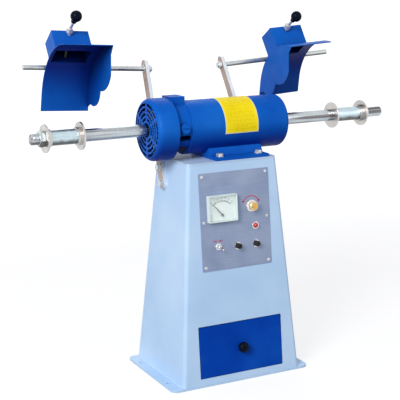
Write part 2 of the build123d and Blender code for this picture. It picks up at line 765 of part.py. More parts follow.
# Everything that turns with the spindle
def make_rotor():
    shaft_left = cowl_left - shaft_overhang
    shaft_right = drive_end + shaft_overhang
    nodes["motor_shaft"] = round_x(shaft_diameter, shaft_left, shaft_right)

    bore = shaft_diameter + 2 * running
    core_right = core_left + core_length
    core = round_x(core_diameter, core_left, core_right)
    core += round_x(winding_diameter, core_left - winding_length, core_right + winding_length)
    core -= round_x(bore, core_left - 2 * winding_length, core_right + 2 * winding_length)
    nodes["armature_core"] = core
    half = commutator_length / 2
    nodes["commutator"] = ring_x(commutator_diameter, bore, brush_at - half, brush_at + half)

    back = bell_left - fan_clear
    fan = round_x(fan_hub, back - fan_width, back) + round_x(fan_diameter, back - fan_plate, back)
    for blade in range(fan_blades):
        inner = fan_hub / 2 - fan_lap
        outer = fan_diameter / 2 - over
        vane = Pos(back - fan_width / 2, 0, (inner + outer) / 2) * Box(fan_width, fan_plate, outer - inner)
        fan += Pos(0, 0, axis_height) * Rot(X=360 / fan_blades * blade) * vane
    nodes["cooling_fan"] = fan - round_x(bore, back - fan_width - over, back + over)

    starts = {"left": -cowl_left + spindle_gap, "right": drive_end + spindle_gap}
    flange_pieces, sleeves, nuts, grubs = [], [], [], []
    for side, sign in sides.items():
        start = starts[side]
        root = start - spindle_gap + shaft_overhang
        stack = [seat_start[side]]
        for length in (flange_plate, flange_hub_length, sleeve_length[side],
                       flange_hub_length, flange_plate, nut_length):
            stack.append(stack[-1] + length)
        spindle = round_x(spindle_diameter, start, stack[0])
        spindle += round_x(seat_diameter, stack[0], stack[5])
        spindle += round_x(thread_diameter, stack[5], spindle_end[side])
        spindle = chamfer(spindle.edges().sort_by(Axis.X)[-1], spindle_chamfer)
        spindle -= round_x(bore, start - over, root + over)
        for place in grub_places:
            spot = Pos(start + (root - start) * place, 0, axis_height) * Rot(X=90 - grub_turn)
            spindle -= spot * cylinder_up(grub_diameter + slip, 0, spindle_diameter)
            grub = cylinder_up(grub_diameter, bore / 2, spindle_diameter / 2 - over)
            grubs.append(turned_side(spot * grub, sign))
        nodes[side + "_spindle"] = turned_side(spindle, sign)
        hole = seat_diameter + 2 * running
        inside = ring_x(flange_diameter, hole, stack[0], stack[1])
        inside += ring_x(flange_hub, hole, stack[1], stack[2])
        outside = ring_x(flange_hub, hole, stack[3], stack[4])
        outside += ring_x(flange_diameter, hole, stack[4], stack[5])
        flange_pieces += [turned_side(inside, sign), turned_side(outside, sign)]
        sleeves.append(turned_side(ring_x(sleeve_diameter, hole, stack[2], stack[3]), sign))
        nut = bar_x(hexagon(nut_across) - Circle(thread_diameter / 2 + running), stack[5], stack[6])
        nuts.append(turned_side(nut, sign))
    nodes["wheel_flanges"] = group(flange_pieces)
    nodes["wheel_sleeves"] = group(sleeves)
    nodes["spindle_nuts"] = group(nuts)
    nodes["spindle_grub_screws"] = group(grubs)


def turned_side(shape, sign):
    return shape if sign > 0 else mirror(shape, about=Plane.YZ)


# Arms, rods and dust hoods, built on the right and mirrored to the left
def make_hoods():
    root = arm_at(arm_length - rod_from_end, arm_thickness / 2).position
    rise = radians(rod_rise)
    rod_frame = Plane(root, x_dir=(cos(rise), 0, sin(rise)), z_dir=(-sin(rise), 0, cos(rise)))
    for side, sign in sides.items():
        make_arm(side, sign)
        tilted = rod_frame.location * Rot(X=hood_tilt[side])
        half = arm_thickness / 2 + seat_gap + running
        rod = round_x(rod_diameter, -half - rod_nut_length - rod_stub, rod_reach, 0)
        rod = chamfer(rod.edges().group_by(Axis.X)[-1], rod_chamfer)
        hole = Circle(rod_diameter / 2 + running)
        nut = bar_x(hexagon(rod_nut_across) - hole, -half - rod_nut_length, -half, 0)
        washer = bar_x(Circle(rod_washer / 2) - hole, half, half + rod_washer_thickness, 0)
        pieces = {"rod": rod, "rod_nuts": group([nut, washer])}
        pieces.update(hood_pieces(side))
        for name, piece in pieces.items():
            nodes[side + "_" + name] = turned_side(tilted * piece, sign)


def make_arm(side, sign):
    arm = extrude(SlotOverall(arm_length, arm_width, rotation=90), arm_thickness)
    arm = Pos(0, arm_length / 2) * arm
    hole = cylinder_up(rod_diameter + 2 * seat_gap, -over, arm_thickness + over)
    arm -= Pos(0, arm_length - rod_from_end) * hole
    for distance in arm_bolts:
        arm -= Pos(0, distance, arm_thickness) * bolt_hole(arm_thickness)
    nodes[side + "_arm"] = turned_side(arm_at(0, 0) * arm, sign)


def hood_pieces(side):
    inner = hood_inner[side]
    outer = inner + hood_width
    profile = Plane((0, 0, 0), x_dir=(0, -1, 0), z_dir=(-1, 0, 0))

    def prism(sketch, start, end):
        # Forward and up in the sketch, from start to end along the rod
        return Pos(start, 0, 0) * extrude(profile * sketch, end - start, dir=(1, 0, 0))

    bend = hood_bottom + hood_straight
    centre = (hood_back + hood_radius, bend)
    skin = centre[0] - hood_radius - sheet
    sweep = radians(hood_angle)
    lip = (centre[0] - hood_radius * cos(sweep), bend + hood_radius * sin(sweep))
    lip_back = (lip[0] - sheet * cos(sweep), lip[1] + sheet * sin(sweep))
    inner_arc = CenterArc(centre, hood_radius, 180, -hood_angle)
    outer_arc = CenterArc(centre, hood_radius + sheet, 180, -hood_angle)
    straight = Line((hood_back, hood_bottom), (hood_back, bend))
    curve = [straight, inner_arc, Line(lip, lip_back), outer_arc,
             Line((skin, bend), (skin, hood_bottom)), Line((skin, hood_bottom), (hood_back, hood_bottom))]
    hood = prism(make_face(curve), inner, outer)

    # Side cheek: two lobes below a chamfered top, in front of the curved sheet
    top = (lip[0] - cheek_chamfer[0], lip[1] - cheek_chamfer[1])
    nose = (lip[0], lip[1] - cheek_nose_drop)
    notch = (hood_back + cheek_notch[0], hood_bottom + cheek_notch[1])
    heel = (hood_back + cheek_heel[0], hood_bottom + cheek_heel[1])
    foot = (hood_back, heel[1] - cheek_bottom_step)
    upper = (nose[0] - (nose[0] - notch[0]) * lobe_upper[0], nose[1] - (nose[1] - notch[1]) * lobe_upper[1])
    lower = (notch[0] - (notch[0] - heel[0]) * lobe_lower[0], notch[1] - (notch[1] - heel[1]) * lobe_lower[1])
    edge = [Line(foot, (hood_back, bend)), inner_arc, Line(lip, top), Line(top, nose),
            ThreePointArc(nose, upper, notch), ThreePointArc(notch, lower, heel), Line(heel, foot)]
    hood += prism(make_face(edge), inner, inner + sheet)

    # Box behind the upper sheet, open into the hood
    pitch = radians(box_pitch)
    along = (cos(pitch), -sin(pitch))
    across = (-sin(pitch), -cos(pitch))

    def box_point(forward, deep):
        return (box_corner[0] + forward * along[0] + deep * across[0],
                box_corner[1] + forward * along[1] + deep * across[1])

    def box_prism(wall, reach):
        corners = [box_point(wall, wall), box_point(reach, wall),
                   box_point(reach, box_depth - wall), box_point(wall, box_depth - wall)]
        start = inner + box_inset[side]
        return prism(Polygon(*corners, align=None), start + wall, start + box_width - wall)

    front_of_sheet = prism(Pos(*centre) * Circle(hood_radius + sheet / 2), inner - over, outer + over)
    hood += box_prism(0, box_reach) - front_of_sheet
    hood -= box_prism(sheet, box_reach + 2 * sheet)

    # Clamp screw from the box down to the block on the rod
    middle = inner + box_inset[side] + box_width / 2 + hub_shift[side]
    hole = box_point(screw_from_corner, 0)
    screw_angle = degrees(atan2(hole[0], hole[1]))
    screw_height = sqrt(hole[0] ** 2 + hole[1] ** 2)
    screw_line = Pos(middle, 0, 0) * Rot(X=screw_angle)
    clearance = cylinder_up(screw_diameter + 2 * running, rod_diameter / 2, screw_height + cut_depth)
    hood -= screw_line * clearance

    block_face = Rectangle(2 * block_half, 2 * block_half)
    block = prism(Pos(block_shift, 0) * block_face, middle - block_length / 2, middle + block_length / 2)
    block -= prism(Pos(*centre) * Circle(hood_radius + sheet + slip), inner - over, outer + over)
    block -= round_x(rod_diameter + 2 * running, inner - over, outer + over, 0)
    block -= screw_line * clearance

    collar_low = screw_height + hub_diameter / 2 * tan(radians(box_pitch - screw_angle)) + slip
    bend_up = collar_low + hub_length
    lever = cylinder_up(screw_diameter, rod_diameter / 2 + seat_gap, collar_low + over)
    lever += cylinder_up(hub_diameter, collar_low, bend_up)
    arm_up = Pos(0, 0, bend_up - lever_diameter / 2) * Rot(X=lever_lean - screw_angle)
    lever += arm_up * cylinder_up(lever_diameter, 0, lever_length)
    ball = Pos(0, 0, lever_length) * Sphere(ball_diameter / 2)
    ball += cylinder_up(lever_diameter * 1.8, lever_length - ball_diameter * 0.75, lever_length)
    ball -= cylinder_up(lever_diameter + 2 * slip, 0, lever_length + slip)
    return {"hood": hood, "clamp_block": block, "clamp_lever": screw_line * lever,
            "ball_knob": screw_line * arm_up * ball}


make_pedestal()
make_rear_cover()
make_drawer()
make_panel()
make_meter()
make_speed_control()
make_toggle()
make_lamp_and_fuses()
make_controller()
make_motor()
make_cowl()
make_foot()
make_rotor()
make_hoods()

os.makedirs("parts", exist_ok=True)
for name, shape in nodes.items():
    export_step(shape, "parts/" + name + ".step")
print(len(nodes), "nodes")
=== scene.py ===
import bmesh
import bpy
import math
import numpy as np
from mathutils import Matrix


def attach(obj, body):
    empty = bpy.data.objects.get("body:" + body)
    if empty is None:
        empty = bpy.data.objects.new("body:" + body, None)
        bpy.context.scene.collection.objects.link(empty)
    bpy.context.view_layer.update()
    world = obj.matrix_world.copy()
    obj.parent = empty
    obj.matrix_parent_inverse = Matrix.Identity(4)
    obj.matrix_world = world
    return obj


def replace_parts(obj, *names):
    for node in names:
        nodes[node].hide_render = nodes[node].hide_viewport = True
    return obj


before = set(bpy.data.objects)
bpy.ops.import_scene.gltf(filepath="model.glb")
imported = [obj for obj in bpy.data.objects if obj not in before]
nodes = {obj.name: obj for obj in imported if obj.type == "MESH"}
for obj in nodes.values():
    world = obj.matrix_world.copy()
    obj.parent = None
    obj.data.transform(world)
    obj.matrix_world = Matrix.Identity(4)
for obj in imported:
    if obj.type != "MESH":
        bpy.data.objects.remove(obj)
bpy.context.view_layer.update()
mm = 0.001
print("frame loaded,", len(nodes), "nodes")


# shared shapes, worked out as whole arrays in millimetres
def gridFaces(rows, cols, wrap=False):
    # quad k joins a grid point with its neighbours in the next column and row
    r, c = np.meshgrid(np.arange(rows - 1), np.arange(cols if wrap else cols - 1), indexing="ij")
    nextCol = (c + 1) % cols
    here, above = r * cols, (r + 1) * cols
    quads = np.stack([here + c, here + nextCol, above + nextCol, above + c], axis=-1)
    return quads.reshape(-1, 4)


def around(steps):
    return np.linspace(0, 2 * np.pi, steps, endpoint=False)


def lathe(radius, height):
    # point (row, step) stands at its own radius and height, the steps going once round the Z axis
    rows, steps = radius.shape
    angle = around(steps)
    points = np.stack([radius * np.cos(angle), radius * np.sin(angle), height], axis=-1)
    return points.reshape(-1, 3), gridFaces(rows, steps, wrap=True)


def revolve(profile, steps=48, across=None):
    # each profile row (radius, height) is carried round the Z axis; with across, the radius
    # is held inside a hexagon of that width, which cuts the six flats of a nut
    rows = np.asarray(profile, float)
    radius = np.repeat(rows[:, :1], steps, axis=1)
    height = np.repeat(rows[:, 1:], steps, axis=1)
    if across:
        flat = across / 2 / np.cos((around(steps) + np.pi / 6) % (np.pi / 3) - np.pi / 6)
        radius = np.minimum(radius, flat)
    return lathe(radius, height)


hexagon = dict(face=0.47, cone=30.0, rows=5, steps=72)


def hexBlock(across, low, high, bore=0.0, bothEnds=False):
    # hexagon with a cone turned on its upper end, and on its lower end if asked
    corner = across / math.sqrt(3)
    face = across * hexagon["face"]
    drop = (corner - face) * math.tan(math.radians(hexagon["cone"]))
    cone = np.linspace(0, 1, hexagon["rows"])[:, None]
    upper = np.concatenate([face + (corner - face) * cone, high - drop * cone], axis=1)
    lower = np.array([[corner, low]])
    if bothEnds:
        lower = np.concatenate([corner + (face - corner) * cone, low + drop * (1 - cone)], axis=1)
    last = [[bore, low], [bore, high]] if bore else [[0, low]]
    return revolve(np.concatenate([[[bore, high]], upper, lower, last]), hexagon["steps"], across)


def ring(inner, outer, low, high, broken=0.25, steps=56):
    # washer: a rectangle with its outer corners broken, carried round the axis
    profile = [(inner, low), (outer - broken, low), (outer, low + broken), (outer, high - broken),
               (outer - broken, high), (inner, high), (inner, low)]
    return revolve(profile, steps)


def post(radius, low, high, steps=40):
    return revolve([(0, low), (radius, low), (radius, high), (0, high)], steps)


def slab(low, high):
    # closed shell between two grids of the same size: both grids and a wall round their edge
    rows, cols = low.shape[:2]
    count = rows * cols
    index = np.arange(count).reshape(rows, cols)
    rim = np.concatenate([index[0, :-1], index[:-1, -1], index[-1, :0:-1], index[:0:-1, 0]])
    wall = np.stack([rim, np.roll(rim, -1), np.roll(rim, -1) + count, rim + count], axis=-1)
    face = gridFaces(rows, cols)
    points = np.concatenate([low.reshape(-1, 3), high.reshape(-1, 3)])
    return points, np.concatenate([face[:, ::-1], face + count, wall])


def flatSlab(grid, low, high):
    # a flat grid of (x, y) points given a lower and an upper level
    def level(z):
        return np.concatenate([grid, np.full(grid.shape[:2] + (1,), z)], axis=-1)
    return slab(level(low), level(high))


def plateBar(x0, y0, x1, y1, low, high):
    grid = np.array([[[x0, y0], [x1, y0]], [[x0, y1], [x1, y1]]], float)
    return flatSlab(grid, low, high)


def ringBand(inner, outer, start, end, low, high, steps=40):
    # sector of a flat ring, angles in degrees anticlockwise from +X
    angle = np.radians(np.linspace(start, end, steps))
    radius = np.array([inner, outer])[:, None]
    grid = np.stack([radius * np.cos(angle), radius * np.sin(angle)], axis=-1)
    return flatSlab(grid, low, high)


def moved(shape, matrix):
    # every point goes through one 4 x 4 placement; a mirrored placement turns the faces round
    points, faces = shape
    place = np.array(matrix)
    points = points @ place[:3, :3].T + place[:3, 3]
    return points, faces[:, ::-1] if np.linalg.det(place[:3, :3]) < 0 else faces


def linkPiece(name, mesh, material, body, smooth):
    mesh.shade_smooth()
    mesh.set_sharp_from_angle(angle=math.radians(smooth))
    mesh.materials.clear()
    mesh.materials.append(material)
    piece = bpy.data.objects.new(name, mesh)
    bpy.context.scene.collection.objects.link(piece)
    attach(piece, body)
    return piece


def makePiece(name, shapes, material, body, smooth=35):
    # all shapes become one mesh in metres, with poles and seams closed and normals outwards
    points = np.concatenate([shape[0] for shape in shapes]) * mm
    starts = np.cumsum([0] + [len(shape[0]) for shape in shapes[:-1]])
    faces = np.concatenate([shape[1] + start for shape, start in zip(shapes, starts)])
    mesh = bpy.data.meshes.new(name)
    mesh.from_pydata(points.tolist(), [], faces.tolist())
    work = bmesh.new()
    work.from_mesh(mesh)
    bmesh.ops.remove_doubles(work, verts=work.verts, dist=2e-6)
    bmesh.ops.dissolve_degenerate(work, edges=work.edges, dist=1e-7)
    bmesh.ops.recalc_face_normals(work, faces=work.faces)
    work.to_mesh(mesh)
    work.free()
    return linkPiece(name, mesh, material, body, smooth)


def makeWords(name, words, material, body, size, thick, bold=0.0):
    # each word is a filled text outline, made a mesh first and then put in its place
    joined = bmesh.new()
    for word, place in words:
        text = bpy.data.curves.new(name, "FONT")
        text.body = word
        text.size = size * mm
        text.align_x = "CENTER"
        text.align_y = "CENTER"
        text.extrude = thick * mm / 2
        text.offset = bold * mm
        holder = bpy.data.objects.new(name, text)
        flat = bpy.data.meshes.new_from_object(holder)
        metres = place.copy()
        metres.translation *= mm
        flat.transform(metres)
        joined.from_mesh(flat)
        bpy.data.objects.remove(holder)
        bpy.data.meshes.remove(flat)
    bmesh.ops.remove_doubles(joined, verts=joined.verts, dist=1e-6)
    mesh = bpy.data.meshes.new(name)
    joined.to_mesh(mesh)
    joined.free()
    return linkPiece(name, mesh, material, body, 30)


# places on the machine
def translate(x, y, z):
    return Matrix.Translation((x, y, z))


def turn(angle, axis):
    return Matrix.Rotation(math.radians(angle), 4, axis)


mirrorX = Matrix.Diagonal((-1, 1, 1, 1))
alongX = turn(90, "Y")   # local Z onto the spindle's direction
pedestal = dict(baseDepth=294, baseWidth=352, leanFront=math.degrees(math.atan2(54, 586)),
                leanSide=math.degrees(math.atan2(45, 586)), deckTop=586, axis=667)
panel = dict(middle=431.5 / math.cos(math.radians(pedestal["leanFront"])), thickness=1.5)
arm = dict(foot=(24.0, 503.8), lean=27.2, thick=10.0, bolts=(16.0, 60.0), rodAt=341.0, rodRise=3.5,
           tilt={"left": 6.0, "right": 15.0})


def onFront(x, up, lift):
    # on the sloping front: x across, up the slope from the floor, local Z out of the sheet
    face = translate(0, -pedestal["baseDepth"] / 2, 0) @ turn(90 - pedestal["leanFront"], "X")
    return face @ translate(x, up, lift)


def onRear(x, up, lift):
    return turn(180, "Z") @ onFront(x, up, lift)


def onPanel(x, y, lift=0):
    return onFront(x, panel["middle"] + y, panel["thickness"] + lift)


def onArm(distance, lift):
    # along the right arm from its lower end, local Z out of the cabinet's side
    lean = math.radians(pedestal["leanSide"])
    side = Matrix(((0, -math.sin(lean), math.cos(lean), pedestal["baseWidth"] / 2),
                   (1, 0, 0, 0), (0, math.cos(lean), math.sin(lean), 0), (0, 0, 0, 1)))
    foot = translate(arm["foot"][0], arm["foot"][1] / math.cos(lean), 0)
    return side @ foot @ turn(-arm["lean"], "Z") @ translate(0, distance, lift)


def onRod(side):
    # the right rod's root with local X out along the rod, mirrored for the left
    root = onArm(arm["rodAt"], arm["thick"] / 2).translation
    place = Matrix.Translation(root) @ turn(-arm["rodRise"], "Y") @ turn(arm["tilt"][side], "X")
    return mirrorX @ place if side == "left" else place


def onMotor(x, angle, reach):
    # local Z outwards from the spindle, angle 0 is the front and 90 the top
    return translate(x, 0, pedestal["axis"]) @ turn(90 - angle, "X") @ translate(0, 0, reach)


# finishes
def srgb(r, g, b):
    value = np.array([r, g, b]) / 255
    linear = np.where(value <= 0.04045, value / 12.92, ((value + 0.055) / 1.055) ** 2.4)
    return (*linear.tolist(), 1.0)


def feed(tree, value, socket):
    if isinstance(value, bpy.types.NodeSocket):
        tree.links.new(value, socket)
    else:
        socket.default_value = value


def wire(tree, kind, inputs, **settings):
    # a new shader node, each of its inputs linked to a socket or given a value
    made = tree.nodes.new("ShaderNode" + kind)
    for key, value in settings.items():
        setattr(made, key, value)
    for key, value in inputs.items():
        feed(tree, value, made.inputs[key])
    return made


class Finish:
    def __init__(self, name):
        self.material = bpy.data.materials.new(name)
        self.material.use_nodes = True
        self.tree = self.material.node_tree
        self.shader = self.tree.nodes["Principled BSDF"]
        self.coords = self.tree.nodes.new("ShaderNodeTexCoord")

    def node(self, kind, inputs=None, **settings):
        return wire(self.tree, kind, inputs or {}, **settings)

    def set(self, **inputs):
        for key, value in inputs.items():
            feed(self.tree, value, self.shader.inputs[key.replace("_", " ")])

    def stretched(self, scale):
        # object coordinates stretched by a factor on each axis
        return self.node("Mapping", {"Vector": self.coords.outputs["Object"], "Scale": scale}).outputs[0]

    def axes(self):
        return self.node("SeparateXYZ", {"Vector": self.coords.outputs["Object"]}).outputs

    def facing(self, axis):
        # how far the surface faces along one of the object's own axes, -1 to 1
        return self.node("SeparateXYZ", {"Vector": self.coords.outputs["Normal"]}).outputs[axis]

    def openness(self, reach):
        # 1 on open faces, falling to 0 deep inside the piece's own recesses
        return self.node("AmbientOcclusion", {"Distance": reach}, samples=6, only_local=True).outputs["AO"]

    def greased(self, tone, undersideShade):
        # painted shade and painted reflection of the dark floor along the underside, a dark brown with a
        # ragged upper edge
        under = self.maths("ADD", self.facing("Z"), self.range(self.noise(60, 3), -0.12, 0.12))
        return self.mix(self.range(under, 0.9, 0.0, -0.5, -0.1), tone, undersideShade)

    def noise(self, scale, detail=3, rough=0.55, vector=None):
        made = self.node("TexNoise", {"Vector": vector or self.coords.outputs["Object"], "Scale": scale,
                                      "Detail": detail, "Roughness": rough})
        return made.outputs["Fac"]

    def ramp(self, value, stops):
        made = self.node("ValToRGB", {"Fac": value})
        while len(made.color_ramp.elements) < len(stops):
            made.color_ramp.elements.new(0.5)
        for element, (place, colour) in zip(made.color_ramp.elements, stops):
            element.position = place
            element.color = colour if len(colour) == 4 else (*colour, 1)
        return made.outputs["Color"]

    def range(self, value, low, high, fromLow=0.3, fromHigh=0.7):
        made = self.node("MapRange", {"Value": value, "From Min": fromLow, "From Max": fromHigh,
                                      "To Min": low, "To Max": high})
        return made.outputs["Result"]

    def maths(self, operation, a, b=0.0):
        return self.node("Math", {0: a, 1: b}, operation=operation).outputs[0]

    def blend(self, a, b, share):
        # weighted sum of two grey values
        return self.maths("ADD", self.maths("MULTIPLY", a, 1 - share), self.maths("MULTIPLY", b, share))

    def mix(self, factor, a, b):
        return self.node("Mix", {0: factor, 6: a, 7: b}, data_type="RGBA").outputs[2]

    def bump(self, height, strength, distance, normal=None):
        inputs = {"Height": height, "Strength": strength, "Distance": distance}
        if normal:
            inputs["Normal"] = normal
        return self.node("Bump", inputs).outputs["Normal"]

    def softEdge(self, radius):
        return self.node("Bevel", {"Radius": radius}, samples=4).outputs["Normal"]

    def edgeMask(self, radius):
        # 1 along an edge: where the rounded normal leaves the true one
        rounded = self.softEdge(radius)
        true = self.node("NewGeometry").outputs["Normal"]
        agree = self.node("VectorMath", {0: rounded, 1: true}, operation="DOT_PRODUCT").outputs["Value"]
        return self.range(agree, 1.0, 0.0, 0.80, 0.995)


def enamel(name, colour, light, dark, roughness, peel, shine, paintedShade=None, edge=0.0012):
    # sprayed enamel: slow drift of tone, fine orange peel, thin paler wear on the edges,
    # and, if asked, painted shade: a darker tone where the sheet faces down and in its own recesses, near
    # black deepest inside them
    made = Finish(name)
    speck = made.noise(300, 3, 0.7)
    tone = made.ramp(made.noise(5, 4), [(0.3, dark), (0.5, colour), (0.72, light)])
    tone = made.mix(made.range(speck, 0.0, 0.22), tone, light)
    if paintedShade:
        # painted shade: darker blue where the sheet faces down
        tone = made.mix(made.range(made.facing("Z"), 1.0, 0.0, -0.6, 0.1), tone, paintedShade)
        # painted shade: darker blue in the piece's own recesses, then near-black navy far inside them
        opened = made.openness(0.25)
        tone = made.mix(made.range(opened, 0.90, 0.0, 0.38, 0.92), tone, paintedShade)
        tone = made.mix(made.range(opened, 0.95, 0.0, 0.16, 0.76), tone, srgb(2, 14, 58))
    patchy = made.range(made.noise(60, 4), 0.0, 0.55, 0.45, 0.75)
    tone = made.mix(made.maths("MULTIPLY", made.edgeMask(edge), patchy), tone, light)
    made.set(Base_Color=tone, Roughness=made.range(made.noise(28, 4), roughness - 0.06, roughness + 0.10))
    made.set(Normal=made.bump(made.noise(peel, 2), 0.10, 0.0004, made.softEdge(edge)))
    made.set(Specular_IOR_Level=shine)
    return made.material


def turnedSteel(name, colour, light, roughness, pitch=900, smear=None, undersideShade=None):
    # lathe-turned bar: fine rings across X, long polishing streaks and slow patches of handling,
    # with long smears of old oil along the bar if asked, and painted shade along its underside if asked
    made = Finish(name)
    rings = made.noise(pitch, 3, 0.6, made.stretched((1, 0.02, 0.02)))
    streak = made.noise(140, 3, 0.6, made.stretched((0.05, 1, 1)))
    patch = made.noise(18, 4)
    tone = made.blend(made.blend(rings, patch, 0.5), streak, 0.4)
    tone = made.ramp(tone, [(0.36, colour), (0.64, light)])
    if smear:
        smeared = made.noise(84, 2, 0.5, made.stretched((0.03, 1, 1)))
        tone = made.mix(made.range(smeared, 0.0, 0.85, 0.46, 0.58), tone, smear)
    # painted shade along the underside, if asked
    if undersideShade:
        tone = made.greased(tone, undersideShade)
    made.set(Base_Color=tone, Metallic=1.0,
             Roughness=made.range(rings, roughness - 0.05, roughness + 0.10),
             Normal=made.bump(rings, 0.12, 0.0002, made.softEdge(0.0005)))
    return made.material


def rolledBar(name, colour, light, roughness, undersideShade=None):
    # drawn bar: cloudy tone and pits, with painted shade along its underside if asked
    made = Finish(name)
    cloud = made.noise(22, 5, 0.6)
    pits = made.noise(420, 2)
    tone = made.ramp(made.blend(cloud, pits, 0.15), [(0.34, colour), (0.66, light)])
    # painted shade along the underside, if asked
    if undersideShade:
        tone = made.greased(tone, undersideShade)
    made.set(Base_Color=tone, Metallic=0.7,
             Roughness=made.range(cloud, roughness - 0.06, roughness + 0.12),
             Normal=made.bump(pits, 0.05, 0.0002, made.softEdge(0.0006)))
    return made.material


def flatBar(name, scale, lightScale, bright):
    # sheared flat bar: tan mill scale on the broad faces, bright cut edges
    made = Finish(name)
    cloud = made.noise(26, 5, 0.6)
    streak = made.noise(160, 3, 0.6, made.stretched((1, 0.15, 0.15)))
    broad = made.range(made.maths("ABSOLUTE", made.facing("X")), 0.0, 1.0, 0.55, 0.75)
    skin = made.ramp(made.blend(cloud, streak, 0.4), [(0.34, scale), (0.66, lightScale)])
    cut = made.ramp(made.blend(cloud, streak, 0.7), [(0.30, bright), (0.70, (0.84, 0.88, 0.93))])
    made.set(Base_Color=made.mix(broad, cut, skin), Metallic=made.range(broad, 0.45, 0.25, 0.0, 1.0),
             Roughness=made.range(cloud, 0.34, 0.50), Specular_IOR_Level=0.2,
             Normal=made.bump(streak, 0.06, 0.0002, made.softEdge(0.0006)))
    return made.material


def facedSteel(name, colour, light, roughness):
    # faced discs: rings round the spindle axis, from the distance to that axis
    made = Finish(name)
    y, z = made.axes()["Y"], made.axes()["Z"]
    up = made.maths("SUBTRACT", z, pedestal["axis"] * mm)
    square = made.maths("ADD", made.maths("MULTIPLY", y, y), made.maths("MULTIPLY", up, up))
    reach = made.maths("SQRT", square)
    rings = made.node("TexNoise", {"W": reach, "Scale": 2200.0, "Detail": 2.0}, noise_dimensions="1D")
    rings = rings.outputs["Fac"]
    made.set(Base_Color=made.ramp(made.noise(14, 4), [(0.3, colour), (0.7, light)]), Metallic=1.0,
             Roughness=made.range(rings, roughness - 0.06, roughness + 0.12),
             Normal=made.bump(rings, 0.15, 0.0002, made.softEdge(0.0006)))
    return made.material


def plated(name, colour, light, roughness, grain, metal=1.0, blackBelow=None):
    # zinc or chrome plate: crystal-like mottling and soft edges, near black below a height if asked
    made = Finish(name)
    cells = made.node("TexVoronoi", {"Vector": made.coords.outputs["Object"], "Scale": grain})
    cells = cells.outputs["Distance"]
    cloud = made.noise(grain * 0.4, 4)
    tone = made.ramp(made.blend(cells, cloud, 0.5), [(0.2, colour), (0.7, light)])
    if blackBelow:
        # near black below the given height
        tone = made.mix(made.maths("LESS_THAN", made.axes()["Z"], blackBelow), tone, (0.02, 0.02, 0.024, 1))
    made.set(Base_Color=tone, Metallic=metal, Roughness=made.range(cloud, roughness - 0.05, roughness + 0.12),
             Normal=made.bump(cells, 0.06, 0.0002, made.softEdge(0.0006)))
    return made.material


def moulded(name, colour, light, roughness, grain, shine=0.5):
    # moulded plastic: faint flow marks and a fine grain
    made = Finish(name)
    flow = made.noise(24, 4, 0.6, made.stretched((1, 1, 0.4)))
    made.set(Base_Color=made.ramp(flow, [(0.35, colour), (0.75, light)]), Specular_IOR_Level=shine,
             Roughness=made.range(made.noise(90, 3), roughness - 0.05, roughness + 0.10),
             Normal=made.bump(made.noise(grain, 2), 0.08, 0.0002, made.softEdge(0.0005)))
    return made.material


def brushedPanel():
    # anodised sheet: faint streaks across, slow clouds, a few longer scratches
    made = Finish("panelMetal")
    streak = made.noise(900, 3, 0.6, made.stretched((0.02, 1, 1)))
    cloud = made.noise(9, 4)
    scratch = made.range(made.noise(60, 2, 0.5, made.stretched((0.25, 1.6, 1.6))), 0.0, 0.25, 0.70, 0.78)
    tone = made.ramp(made.blend(cloud, streak, 0.35),
                     [(0.36, srgb(128, 142, 173)), (0.5, srgb(141, 155, 184)), (0.64, srgb(153, 166, 192))])
    made.set(Base_Color=made.mix(scratch, tone, srgb(176, 186, 204)), Metallic=0.25, Specular_IOR_Level=0.3,
             Roughness=made.range(streak, 0.40, 0.56),
             Normal=made.bump(streak, 0.05, 0.0001, made.softEdge(0.0004)))
    return made.material


def labelFoil():
    # printed foil: pale rim, ruled lines of a blank table, faint print dots and rubbed patches
    made = Finish("labelFoil")
    size = dict(width=98.0, height=150.3, rim=2.2, margin=9.0, row=5.5, column=34.0, line=0.35)
    place = made.node("SeparateXYZ", {"Vector": made.coords.outputs["UV"]})
    across = made.maths("MULTIPLY", place.outputs["X"], size["width"])
    along = made.maths("MULTIPLY", place.outputs["Y"], size["height"])
    sideEdge = made.maths("MINIMUM", across, made.maths("SUBTRACT", size["width"], across))
    endEdge = made.maths("MINIMUM", along, made.maths("SUBTRACT", size["height"], along))
    edge = made.maths("MINIMUM", sideEdge, endEdge)
    inside = made.maths("GREATER_THAN", edge, size["margin"])
    rows = made.maths("LESS_THAN", made.maths("PINGPONG", along, size["row"]), size["line"])
    offset = made.maths("ABSOLUTE", made.maths("SUBTRACT", across, size["column"]))
    ruled = made.maths("MAXIMUM", rows, made.maths("LESS_THAN", offset, size["line"]))
    ruled = made.maths("MULTIPLY", ruled, inside)
    faded = made.maths("MULTIPLY", ruled, made.range(made.noise(45, 4), 0.10, 0.42))
    yellow = made.ramp(made.noise(16, 4),
                       [(0.3, srgb(234, 208, 4)), (0.55, srgb(242, 218, 8)), (0.75, srgb(247, 228, 36))])
    tone = made.mix(faded, yellow, srgb(150, 118, 10))
    speck = made.range(made.noise(330, 2), 0.0, 0.85, 0.64, 0.71)
    tone = made.mix(made.maths("MULTIPLY", speck, inside), tone, srgb(168, 96, 0))
    tone = made.mix(made.maths("LESS_THAN", edge, size["rim"]), tone, srgb(226, 222, 180))
    made.set(Base_Color=tone, Roughness=made.range(made.noise(70, 3), 0.40, 0.56), Specular_IOR_Level=0.2,
             Normal=made.bump(made.noise(500, 2), 0.04, 0.0001))
    return made.material


def clearWindow():
    made = Finish("clearWindow")
    made.set(Base_Color=(0.97, 0.99, 0.99, 1), Transmission_Weight=1.0, IOR=1.45, Alpha=0.35,
             Roughness=made.range(made.noise(40, 3), 0.01, 0.06))
    return made.material


def tintedLens():
    # faceted red lens: dark core, lighter rim of facets
    made = Finish("redLens")
    cells = made.node("TexVoronoi", {"Vector": made.coords.outputs["Object"], "Scale": 420.0})
    cells = cells.outputs["Distance"]
    made.set(Base_Color=made.ramp(cells, [(0.1, srgb(120, 0, 4)), (0.6, srgb(196, 8, 14))]), Roughness=0.12,
             Coat_Weight=0.5, Coat_Roughness=0.04, Normal=made.bump(cells, 0.3, 0.0004))
    return made.material


